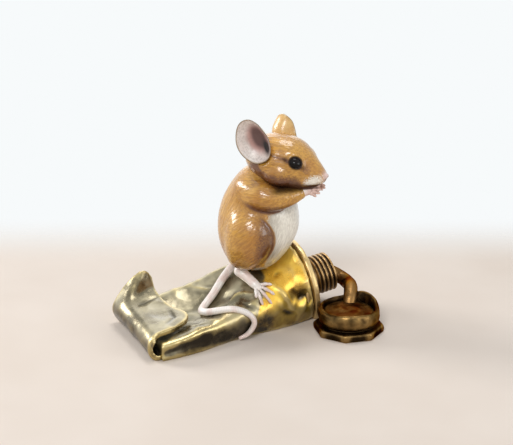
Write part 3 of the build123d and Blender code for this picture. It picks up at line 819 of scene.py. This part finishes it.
def makeEar(side):
    values = ears[side]
    frameOfEar = earFrame(side)
    forward = 1.0 if frameOfEar[0][1] > 0 else -1.0
    angles = circle(ears["sides"])
    high = ears["halfHeight"] * (1 + values["tip"] * np.cos(angles)) * np.cos(angles)
    wide = ears["halfWidth"] * values["wide"] * np.sin(angles)
    shares = np.linspace(0.04, 1.0, ears["rows"])
    rings, marks = [], []
    for inner, row in ((1, shares), (0, shares[::-1])):
        for share in row:
            wall = 0.0 if inner else ears["wall"] * (1 - 0.45 * share ** 6)
            curl = ears["curl"] * share ** 5 * smoothStep(0.2, 0.9, forward * np.sin(angles))
            rings.append(np.stack([high * share, wide * share, bowlDepth(share) + curl - wall], 1))
            marks += [(inner, share, angle) for angle in angles]
    obj = makeObject("ear_skin_" + side, skinRings(rings))
    inner, share, angle = np.array(marks + [(1, 0.0, 0.0), (0, 0.0, 0.0)], float).T
    p = pointsOf(obj)
    p[:, 2] += ears["wave"] * noiseAt(p * 0.22 + values["waveShift"]) * share
    movePoints(obj, p)
    front, low = forward * np.sin(angle) * share, -np.cos(angle) * share
    mauve = np.exp(-((front - 0.18) / 0.5) ** 2 - ((low + 0.05) / 0.6) ** 2)
    # painted shade along the rolled rim, stronger on the right ear
    storeMasks(obj, inside=inner * fadeOut(0.95, 0.995, share),
               rimShare=smoothStep(0.45, 0.85, share - 0.25 * front),
               mauve=0.95 * smoothStep(0.25, 0.7, mauve),
               lip=values["lip"] * smoothStep(0.955, 0.99, share),
               dark=1.7 * np.exp(-((front - 0.5) / 0.22) ** 2 - ((low - 0.4) / 0.28) ** 2))
    settle(obj, headPlace @ frameOfEar, earPaint, "ear_paint", "ear_" + side)


def makeEye(side):
    way = 1.0 if side == "left" else -1.0
    x, y, z = head["eye"]
    points, faces = ball((0, 0, 0), head["eyeRadii"], 30, 48)
    points = points @ eyeTurn().T
    out = np.array([0.35, way * 0.93, 0.1])
    out /= np.linalg.norm(out)
    lens = np.clip(points @ out / head["eyeRadius"], 0, 1) ** 6
    points = points + out * (head["eyeLens"] * lens)[:, None] + np.array([x, way * y, z])
    obj = makeObject("eye_ball_" + side, (points, faces))
    settle(obj, headPlace, blackEye, "black_eye", "eye_" + side)


# Paws and feet: rounded palm or sole and jointed digits
paws = {
    "palm": [(15.6, 5.8, 33.4, 2.3), (18.8, 4.2, 34.4, 2.1), (20.8, 3.4, 34.8, 1.6)],
    "fingers": [(24.0, 3.9, 33.2), (25.2, 3.2, 34.3), (25.4, 2.4, 35.5), (24.6, 1.7, 36.6)],
    "digitRadius": 0.68, "voxel": 0.14, "easing": 3,
}
feet = {
    "right": {"sole": [(-8.8, -2.4, 0.8, 2.3), (-7.0, -5.6, -1.0, 1.9), (-5.6, -8.8, -2.6, 1.8),
                       (-4.7, -10.4, -3.7, 1.4)],
              "toes": [(-6.9, -13.5, -6.0), (-5.1, -15.3, -8.6), (-1.4, -15.3, -8.8), (0.2, -14.0, -5.8),
                       (0.1, -11.7, -2.7)]},
    "left": {"sole": [(3.4, 7.6, 3.5, 2.3), (5.6, 9.8, 4.1, 1.9), (7.6, 11.6, 3.5, 1.8),
                      (8.6, 12.6, 2.9, 1.4)],
             "toes": [(8.0, 17.2, -2.3), (10.2, 17.2, -2.0), (12.4, 16.0, 0.0), (13.4, 14.0, 2.3),
                      (12.8, 11.6, 4.0)]},
    "digitRadius": 0.66, "voxel": 0.15, "easing": 3,
}
# knuckles: share of the digit's length, thickness there
knuckles = [(0.0, 1.15), (0.3, 0.82), (0.5, 1.1), (0.72, 0.8), (0.9, 0.92), (1.0, 0.55)]


# One digit from the end of the palm or sole, rooted a little to the side its tip lies on
def digit(palm, tip, radius):
    end, before = np.array(palm[-1][:3]), np.array(palm[-2][:3])
    along = (end - before) / np.linalg.norm(end - before)
    side = np.array(tip) - end
    side = side - along * (side @ along)
    root = end + side * min(0.22, 1.0 / max(np.linalg.norm(side), 0.1)) - along * 0.6
    points = []
    for share, size in knuckles:
        spot = root + (np.array(tip) - root) * share
        spot[2] += radius * 2 * share * (1 - share)
        points.append((*spot, radius * size))
    return roundLimb(points, 5, 14)


def finishSkin(obj, place, warm, *nodes):
    storeEdges(obj, 14, 0.3, 0.12)
    store(obj, "along", np.zeros(len(obj.data.vertices)))
    store(obj, "warm", warm)
    settle(obj, place, paleSkin, "pale_skin", *nodes)


def makeForepaw(side):
    palm = paws["palm"]
    parts = [roundLimb(palm)] + [digit(palm, tip, paws["digitRadius"]) for tip in paws["fingers"]]
    if side == "right":
        parts = [mirrored(part) for part in parts]
    obj = fuse("forepaw_skin_" + side, parts, paws)
    finishSkin(obj, mousePlace, 0.15 + 0.6 * smoothStep(19.5, 22.5, pointsOf(obj)[:, 0]), "forepaw_" + side)


def makeFoot(side):
    sole = feet[side]["sole"]
    parts = [roundLimb(sole)] + [digit(sole, tip, feet["digitRadius"]) for tip in feet[side]["toes"]]
    obj = fuse("hind_foot_skin_" + side, parts, feet)
    end, before = np.array(sole[-1][:3]), np.array(sole[-2][:3])
    reach = (pointsOf(obj) - end) @ (end - before) / np.linalg.norm(end - before)
    finishSkin(obj, seatPlace, 0.35 * smoothStep(1.0, 4.0, reach), "hind_foot_" + side)


tail = {
    "points": [(-5.4, 5.4, 1.8, 1.9), (-9.2, 5.3, -0.8, 1.7), (-11.8, 4.4, -2.6, 1.6),
               (-14.7, 2.9, -4.8, 1.55), (-19.0, 0.4, -8.3, 1.5), (-23.3, -2.2, -10.8, 1.45),
               (-25.7, -4.9, -11.4, 1.4), (-25.8, -7.6, -11.1, 1.4), (-24.2, -10.0, -10.4, 1.35),
               (-19.7, -12.8, -9.2, 1.3), (-16.1, -14.7, -8.9, 1.25), (-12.5, -16.5, -10.1, 1.2),
               (-10.2, -17.3, -12.2, 1.1), (-9.5, -17.6, -14.5, 1.05), (-10.4, -17.4, -16.9, 1.0),
               (-12.2, -16.9, -19.0, 0.9), (-14.8, -16.4, -20.2, 0.7)],
    "sides": 28, "steps": 14,
}


def makeTail():
    obj = makeObject("tail_skin", roundLimb(tail["points"], tail["steps"], tail["sides"]))
    line = throughPoints(tail["points"], tail["steps"])[:, :3]
    run = np.concatenate([[0], np.cumsum(np.linalg.norm(np.diff(line, axis=0), axis=1))])
    along = run[[((line - spot) ** 2).sum(1).argmin() for spot in pointsOf(obj)]]
    storeEdges(obj, 10, 0.3, 0.3)
    store(obj, "along", along)
    store(obj, "warm", 0.35 * smoothStep(0.8, 1.0, along / run[-1]))
    settle(obj, seatPlace, paleSkin, "pale_skin", "tail")


# Paint tube: squashed shell along x, with the round end at the shoulder
tube = {
    # stations: x, middle, half width, side height, near ridge, valley, far ridge, depth below,
    # share of the foot and of the ridge
    "stations": [(-47.4, -0.8, 20.2, 2.6, 6.2, 4.4, 5.4, 1.0, 0.94, 0.92),
                 (-41.0, -0.7, 20.2, 3.6, 7.4, 5.6, 8.4, 1.5, 0.92, 0.91),
                 (-32.0, -0.3, 19.9, 4.8, 9.0, 6.4, 11.2, 2.0, 0.88, 0.88),
                 (-20.0, 0.4, 18.4, 6.4, 10.9, 10.4, 14.4, 2.5, 0.78, 0.82),
                 (-9.0, 1.2, 17.6, 8.2, 15.4, 17.4, 18.0, 3.5, 0.70, 0.72),
                 (4.0, 2.2, 17.2, 10.0, 19.6, 23.0, 20.6, 4.5, 0.70, 0.72)],
    "farRidge": 0.72, "farFoot": 0.70, "shoulder": (18.0, 3.4, 11.4), "endRadius": 16.5, "pitch": 9.0,
    "voxel": 0.42, "easing": 3, "crumple": 0.5, "floor": 0.0,
    # dents: place, radius, depth
    "dents": [((-2.0, -13.5, 14.0), 4.0, -0.7), ((11.0, -13.0, 13.5), 4.2, -1.3),
              ((13.5, -13.4, 11.7), 2.4, -1.1), ((10.5, -8.0, 21.0), 4.0, 0.5),
              ((5.3, -14.7, 5.3), 3.5, -0.6), ((12.2, -13.6, 6.2), 3.0, 0.4),
              ((-9.8, -12.4, 14.5), 2.6, -0.6), ((-16.0, -6.0, 13.0), 4.5, -0.5),
              ((-12.0, 8.0, 18.5), 4.0, -0.6), ((-30.0, -19.0, 5.0), 3.0, -0.4),
              ((12.0, 14.0, 20.0), 5.0, -0.7), ((-18.0, 16.0, 9.0), 5.0, -0.6)],
    # creases: line, width, depth
    "creases": [([(1.8, -11.4, 18.3), (3.9, -13.1, 16.1), (6.8, -14.2, 12.4), (8.9, -14.3, 8.3)], 1.1, 1.0),
                ([(15.0, -12.8, 13.7), (16.6, -13.0, 10.2), (15.6, -13.0, 6.6)], 0.9, -1.2),
                ([(3.2, -14.6, 9.6), (8.0, -14.6, 6.4), (12.4, -14.0, 4.6)], 1.0, -0.7),
                ([(8.2, -11.6, 17.4), (11.4, -12.6, 14.6), (13.4, -13.2, 10.6)], 0.8, 0.6),
                ([(2.4, -9.1, 20.2), (5.0, -8.0, 21.0), (7.4, -7.4, 21.4)], 1.2, -0.35),
                ([(-15.7, -8.8, 13.3), (-12.2, -7.5, 15.1), (-9.5, -8.7, 16.3), (-6.7, -10.8, 16.7)],
                 0.9, 0.55),
                ([(-13.0, -12.0, 13.7), (-9.8, -14.2, 12.8), (-6.3, -15.6, 10.7)], 1.0, -0.6),
                ([(-24.0, 12.0, 13.0), (-18.0, 6.0, 13.0), (-14.0, 2.0, 14.5)], 1.0, 0.5),
                ([(-34.0, -15.0, 8.6), (-26.0, -16.5, 9.4)], 0.9, -0.4)],
    # painted base shade: heights over which it fades out, and x over which it comes in
    "labelStart": -9.0, "labelSlant": 0.55, "labelWave": 1.2, "baseShadeTop": (3.5, 9.5),
    "baseShadeStart": (-16.0, -6.0),
}
tubeAxis = Matrix.Translation(tube["shoulder"]) @ Matrix.Rotation(radians(90 - tube["pitch"]), 4, "Y")


def onTubeAxis(points):
    return np.array([tubeAxis @ Vector(q) for q in points])


def stationRing(station):
    x, middle, half, side, nearRidge, valley, farRidge, below, footShare, ridgeShare = station
    outline = [(x, middle, -below), (x, middle - footShare * half, -below), (x, middle - half, side),
               (x, middle - ridgeShare * half, nearRidge), (x, middle, valley),
               (x, middle + tube["farRidge"] * half, farRidge), (x, middle + half, side),
               (x, middle + tube["farFoot"] * half, -below)]
    return throughPoints(outline, 10, ring=True)


# Crumples, dents and creases of the sheet; the flat underside stays as it is
def dentSheet(obj, values):
    p = pointsOf(obj)
    amount = values["crumple"] * (0.35 - np.abs(noiseAt(p * 0.13)) + 0.12 * noiseAt(p * 0.45))
    amount += spotSum(p, values["dents"])
    for line, width, depth in values["creases"]:
        gap, share = alongRun(p, line)
        amount += depth * np.exp(-(gap / width) ** 2) * np.sin(pi * np.clip(share, 0.08, 0.92))
    pushOut(obj, amount * smoothStep(0.3, 2.5, p[:, 2]))
    return keepAbove(obj, values["floor"])


def makeTube():
    rings = [stationRing(s) for s in tube["stations"]]
    angles = circle(len(rings[0]))
    rings.append(onTubeAxis(levelRing(angles, tube["endRadius"], -tube["endRadius"], 0.0)))
    fineRings = throughPoints(np.array(rings).reshape(len(rings), -1), 9).reshape(-1, len(angles), 3)
    fineRings[:, :, 2] = np.maximum(fineRings[:, :, 2], tube["floor"])
    obj = fuse("tube_shell", [skinRings(fineRings)], tube)
    p = dentSheet(obj, tube)
    labelEdge = tube["labelStart"] + tube["labelSlant"] * (p[:, 2] - 4.0)
    labelEdge += tube["labelWave"] * noiseAt(p * 0.25)
    label = smoothStep(-0.5, 0.6, p[:, 0] - labelEdge)
    # painted shade towards the bottom, from the middle of the tube to the shoulder, added to the painted
    # shade on low flanks
    paintedBaseShade = fadeOut(*tube["baseShadeTop"], p[:, 2]) * smoothStep(*tube["baseShadeStart"], p[:, 0])
    storeEdges(obj, 22, 0.3, 0.24, 0.12 * label - 0.6 * paintedBaseShade)
    store(obj, "label", label)
    settle(obj, worldPlace, tubeBronze, "tube_bronze", "tube_body")


# Folded end: rows across the tube, each with the middle line of the sheet, along and up
fold = {
    "rows": [(-20.6, [(-47.4, 1.1), (-49.4, 1.2), (-51, 2.6), (-51.5, 4.4), (-51.4, 5.8), (-51, 7),
                      (-50.4, 8)]),
             (-18.8, [(-46.6, 1.1), (-49.3, 1.3), (-51.2, 3.8), (-51.2, 6.6), (-50.2, 8.4), (-49, 9.2),
                      (-47.4, 9.4)]),
             (-15.6, [(-46, 1.1), (-49.2, 1.4), (-51.3, 4.8), (-50.2, 8.2), (-47.4, 9.4), (-43.6, 9.5),
                      (-39.6, 9.3)]),
             (-11.2, [(-46, 1.1), (-49, 1.4), (-51.2, 5.2), (-49.6, 8.8), (-46, 9.8), (-40, 9.6),
                      (-33.2, 9.8)]),
             (-5.6, [(-46, 1.1), (-48.9, 1.5), (-51.1, 5.4), (-49.4, 9), (-45.6, 10), (-38.6, 9.6),
                     (-31.6, 10.2)]),
             (1.2, [(-46, 1.1), (-48.8, 1.5), (-51, 5.6), (-49.4, 9.2), (-45.8, 10.2), (-40.2, 9.8),
                    (-34.4, 10)]),
             (7.8, [(-46, 1.1), (-48.8, 1.6), (-51.2, 5.8), (-50, 9.4), (-46.6, 10.8), (-41, 10.4),
                    (-35.4, 10.6)]),
             (12.4, [(-46, 1.1), (-49, 1.6), (-51.4, 6), (-50.2, 9.8), (-46.6, 12.2), (-41.6, 11.4),
                     (-35.8, 11.4)]),
             (16.4, [(-46, 1.1), (-49.2, 1.6), (-51.4, 6.2), (-48.6, 11.4), (-43.6, 15.4), (-40, 13.8),
                     (-36.2, 12.6)]),
             (19.6, [(-46, 1.1), (-49.2, 1.6), (-51.2, 6.4), (-47, 13.2), (-40.6, 19), (-37.8, 18.8),
                     (-36.4, 15.8)])],
    "thickness": 1.9, "voxel": 0.34, "easing": 6, "crumple": 0.3, "floor": 0.02,
    "dents": [((-42.0, -4.0, 10.8), 4.0, -0.5), ((-45.0, 8.0, 12.0), 3.2, -0.4),
              ((-50.5, 0.0, 6.0), 4.0, 0.35)],
    "creases": [([(-36.2, 2.0, 11.2), (-37.5, -8.0, 10.8), (-44.0, -14.0, 10.4)], 0.9, -0.5),
                ([(-47.0, 6.0, 11.6), (-41.0, 9.0, 11.6), (-36.0, 10.0, 12.0)], 1.2, -0.5)],
}


def makeFold():
    lines = []
    for y, points in fold["rows"]:
        line = throughPoints(points, 9)
        lines.append(np.stack([line[:, 0], np.full(len(line), y), line[:, 1]], 1))
    sheet = throughPoints(np.array(lines).reshape(len(lines), -1), 10).reshape(-1, len(lines[0]), 3)
    out = np.cross(np.gradient(sheet, axis=0), np.gradient(sheet, axis=1))
    out *= fold["thickness"] / 2 / np.linalg.norm(out, axis=2)[:, :, None]
    rings = [np.vstack([row + way, (row - way)[::-1]]) for row, way in zip(sheet, out)]
    obj = fuse("fold_sheet", [skinRings(rings)], fold)
    p = dentSheet(obj, fold)
    storeEdges(obj, 20, 0.3, 0.3)
    store(obj, "label", np.zeros(len(p)))
    settle(obj, worldPlace, tubeBronze, "tube_bronze", "folded_end")


# Turned forms: rows of radius, height and how eight-sided the row is
def turned(rows, steps, sides, turn=0.0):
    angles = circle(sides)
    half = pi / 8
    wedge = (angles - turn) % (2 * half) - half
    rings = []
    for radius, height, flat in throughPoints(rows, steps):
        reach = radius * ((1 - flat) + flat * cos(half) / np.cos(wedge) / ((1 + cos(half)) / 2))
        rings.append(levelRing(angles, reach, reach, height))
    return skinRings(rings)


shoulder = {
    "rows": [(5.0, -2.6, 0), (15.0, -2.6, 0), (15.8, -0.2, 0), (16.6, 0.3, 0), (17.3, 0.6, 0), (17.5, 1.1, 0),
             (17.5, 1.9, 0), (17.2, 2.5, 0), (16.4, 2.8, 0), (14.4, 3.0, 0), (11.0, 4.2, 0), (7.8, 5.4, 0),
             (6.0, 5.5, 0)],
    "wobble": 0.12,
}


def makeShoulder():
    obj = makeObject("shoulder_ring", turned(shoulder["rows"], 5, 128))
    pushOut(obj, shoulder["wobble"] * noiseAt(pointsOf(obj) * 0.3))
    movePoints(obj, onTubeAxis(pointsOf(obj)))
    keepAbove(obj, 0.0)
    storeEdges(obj, 10, 0.12, 0.12)
    settle(obj, worldPlace, ringBronze, "tube_bronze", "shoulder")


neck = {
    "seat": 5.5, "length": 9.6, "core": 6.75, "depth": 0.95, "pitch": 1.75, "turns": 4.6, "start": 0.7,
    "rowsPerMm": 9, "sides": 112, "wobble": 0.05,
    # radius and level of the spigot, and of the mouth below the neck's end
    "spigot": [(4.8, -3.6), (5.1, -0.3)],
    "mouth": [(6.55, -0.08), (6.2, 0.0), (3.5, 0.0), (3.1, -0.25), (3.0, -4.6)],
}


# Thread height at a turn and level: rounded crests that fade in and out at the ends
def threadHeight(level, angles):
    turn = (level - neck["start"]) / neck["pitch"] - angles / (2 * pi)
    crest = 0.5 + 0.5 * np.cos(2 * pi * (turn - np.round(turn)))
    fade = smoothStep(-0.3, 0.3, turn) * fadeOut(neck["turns"] - 0.3, neck["turns"] + 0.3, turn)
    return neck["depth"] * smoothStep(0.12, 0.8, crest) * fade


def makeNeck():
    angles = circle(neck["sides"])
    threadLevels = np.linspace(0, neck["length"] - 0.35, int(neck["length"] * neck["rowsPerMm"]))
    rows = list(neck["spigot"])
    rows += [(neck["core"] + threadHeight(level, angles), level) for level in threadLevels]
    rows += [(radius, neck["length"] + level) for radius, level in neck["mouth"]]
    rings = [levelRing(angles, radius, radius, level) for radius, level in rows]
    obj = makeObject("neck_thread", skinRings(rings))
    pushOut(obj, neck["wobble"] * noiseAt(pointsOf(obj) * 0.9))
    storeEdges(obj, 8, 0.12, 0.12)
    neckPlace = tubeAxis @ Matrix.Translation((0, 0, neck["seat"]))
    settle(obj, neckPlace, neckBronze, "cap_bronze", "threaded_neck")


cap = {
    "centre": (28.2, -23.2, 0.0), "turn": radians(13.0),
    "rows": [(6.0, 0.0, 1.0), (12.2, 0.0, 1.0), (12.9, 0.25, 1.0), (13.1, 0.9, 1.0), (13.1, 1.9, 1.0),
             (12.8, 2.6, 1.0), (11.8, 2.95, 0.6), (10.7, 3.3, 0.1), (10.6, 3.7, 0.0), (11.3, 4.4, 0.0),
             (11.8, 5.6, 0.0), (11.85, 7.0, 0.0), (11.5, 8.6, 0.0), (11.0, 9.4, 0.0), (10.4, 9.65, 0.0),
             (9.8, 9.3, 0.0), (9.5, 8.4, 0.0), (9.45, 6.0, 0.0), (9.3, 4.4, 0.0), (8.0, 4.2, 0.0),
             (3.0, 4.2, 0.0)],
    "rimWave": 0.3, "lipBearing": 0.55, "lipSpan": 0.65, "lipLift": 1.9, "lipFlare": 0.1, "lump": 0.2,
    "grain": 0.04,
}
capPlace = Matrix.Translation(cap["centre"])


def makeCap():
    obj = makeObject("cap_cast", turned(cap["rows"], 5, 144, cap["turn"]))
    p = pointsOf(obj)
    bearing = np.arctan2(p[:, 1], p[:, 0])
    rimShare = smoothStep(6.0, 9.6, p[:, 2])
    lift = np.exp(-((bearing - cap["lipBearing"]) / cap["lipSpan"]) ** 2) * rimShare
    p[:, 2] += cap["lipLift"] * lift + cap["rimWave"] * rimShare * np.sin(3 * bearing + 0.6)
    p[:, :2] *= (1 + cap["lipFlare"] * lift)[:, None]
    movePoints(obj, p)
    lump = cap["lump"] * noiseAt(p * 0.28) * smoothStep(3.2, 5.0, p[:, 2])
    pushOut(obj, lump + cap["grain"] * noiseAt(p * 0.8) * smoothStep(0.1, 0.5, p[:, 2]))
    storeEdges(obj, 10, 0.16, 0.28)
    settle(obj, capPlace, capBronze, "cap_bronze", "cap")


bead = {
    "radius": 2.7, "lump": 0.12, "insideNeck": (4.4, 0.6),
    "arc": [(36.4, 1.2, 11.4), (37.6, -4.0, 10.4), (35.4, -10.4, 11.2), (33.2, -14.6, 9.6),
            (31.8, -16.6, 6.6)],
}


def makeBead():
    mouth = neck["seat"] + neck["length"]
    run = [tubeAxis @ Vector((0, 0, mouth - depth)) for depth in bead["insideNeck"]] + bead["arc"]
    obj = makeObject("paint_run", roundLimb([(*p, bead["radius"]) for p in run], 9, 36))
    pushOut(obj, bead["lump"] * noiseAt(pointsOf(obj) * 0.33))
    storeEdges(obj, 10, 0.3, 0.2)
    settle(obj, worldPlace, paintBronze, "paint_bronze", "paint_bead")


pool = {"radius": 9.4, "level": 8.0, "crown": 0.8, "floor": 4.3, "swirl": 0.16}


def makePool():
    radius, level, crown, floor = [pool[name] for name in ("radius", "level", "crown", "floor")]
    rows = [(3.0, floor, 0), (radius, floor, 0), (radius, level - 0.6, 0), (radius - 0.2, level, 0),
            (6.5, level + 0.5 * crown, 0), (3.0, level + crown, 0), (0.4, level + crown, 0)]
    obj = makeObject("pool_paint", turned(rows, 8, 96))
    p = pointsOf(obj)
    reach = np.linalg.norm(p[:, :2], axis=1)
    swirl = np.sin(2.0 * np.arctan2(p[:, 1], p[:, 0]) + 0.8 * reach) * smoothStep(0.5, 3.0, reach)
    p[:, 2] += pool["swirl"] * swirl * smoothStep(-0.6, 0.0, p[:, 2] - level) * fadeOut(8.0, 9.2, reach)
    movePoints(obj, p)
    storeEdges(obj, 12, 0.25, 0.2)
    settle(obj, capPlace, paintBronze, "paint_bronze", "paint_pool")


makeBody()
makeHead()
for side in ("left", "right"):
    makeEar(side)
    makeEye(side)
    makeForepaw(side)
    makeFoot(side)
makeTail()
makeTube()
makeFold()
makeShoulder()
makeNeck()
makeCap()
makeBead()
makePool()

# Hidden pins stay as they are and get the brass
for name in ("seat_dowels", "head_dowel", "foreleg_pins", "haunch_pins"):
    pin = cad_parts[name]
    pin.data.materials.clear()
    pin.data.materials.append(pinBrass)
print("pins: brass given")


# Studio: pale floor that fades into the sky, soft lamps, and the camera
studio = {
    "floor": tone(220, 208, 197), "floorLight": tone(225, 214, 204), "floorSpan": 6.0,
    "floorFade": (0.055, 0.115), "sky": tone(247, 250, 251), "skyLight": 0.23,
    "target": (0.0, 0.0, 0.040), "azimuth": -24.0, "elevation": 20.5, "distance": 0.650, "lens": 120.0,
    # lamps: place, size, power, beam in degrees
    "lamps": [((0.08, 0.14, 0.68), 0.26, 1.5, 180), ((-0.52, 0.47, 0.32), 0.26, 0.72, 80),
              ((-0.36, -0.44, 0.50), 0.20, 2.2, 180), ((0.22, 0.62, 0.32), 0.50, 1.0, 180),
              ((0.42, -0.60, 0.24), 0.36, 1.4, 180)],
}


def makeFloor():
    material, tree, shader = newMaterial("pale floor")
    where = objectPlace(tree)
    fadeStart, fadeEnd = studio["floorFade"]
    patches = spread(tree, cloud(tree, where, 14.0), 0.3, 0.7)
    depth = put(tree, "ShaderNodeSeparateXYZ", {"Vector": where}).outputs["Y"]
    feed(tree, shader, {"Base Color": mixTone(tree, patches, studio["floor"], studio["floorLight"]),
                        "Roughness": 0.9, "Specular IOR Level": 0.05,
                        "Alpha": spread(tree, depth, fadeStart, fadeEnd, 1.0, 0.0)})
    half = studio["floorSpan"] / 2
    corners = [(-half, -half, 0), (half, -half, 0), (half, fadeEnd, 0), (-half, fadeEnd, 0)]
    mesh = bpy.data.meshes.new("floor")
    mesh.from_pydata(corners, [], [(0, 1, 2, 3)])
    mesh.materials.append(material)
    floor = bpy.data.objects.new("floor", mesh)
    floor.rotation_euler.z = radians(studio["azimuth"])
    scene.collection.objects.link(floor)


def makeSky():
    world = bpy.data.worlds.new("studio sky")
    world.use_nodes = True
    scene.world = world
    tree = world.node_tree
    path = put(tree, "ShaderNodeLightPath", {}).outputs
    level = studio["skyLight"]
    for ray in ("Is Camera Ray", "Is Glossy Ray", "Is Transmission Ray"):
        level = calc(tree, "MAXIMUM", path[ray], level)
    feed(tree, tree.nodes["Background"], {"Color": studio["sky"], "Strength": level})


def makeLamps():
    target = Vector(studio["target"])
    for place, size, power, beam in studio["lamps"]:
        data = bpy.data.lights.new("softbox", "AREA")
        data.shape = "SQUARE"
        data.size = size
        data.energy = power
        data.spread = radians(beam)
        lamp = bpy.data.objects.new("softbox", data)
        lamp.location = place
        lamp.rotation_euler = (target - Vector(place)).to_track_quat("-Z", "Y").to_euler()
        scene.collection.objects.link(lamp)


def makeCamera():
    data = bpy.data.cameras.new("camera")
    data.lens = studio["lens"]
    data.sensor_width = 36.0
    camera = bpy.data.objects.new("camera", data)
    turn, rise = radians(studio["azimuth"]), radians(studio["elevation"])
    back = Vector((sin(turn) * cos(rise), -cos(turn) * cos(rise), sin(rise)))
    camera.location = Vector(studio["target"]) + back * studio["distance"]
    camera.rotation_euler = (-back).to_track_quat("-Z", "Y").to_euler()
    scene.collection.objects.link(camera)
    scene.camera = camera


makeFloor()
makeSky()
makeLamps()
makeCamera()
scene.view_settings.view_transform = "Standard"
print("studio: floor, sky, lamps and camera")
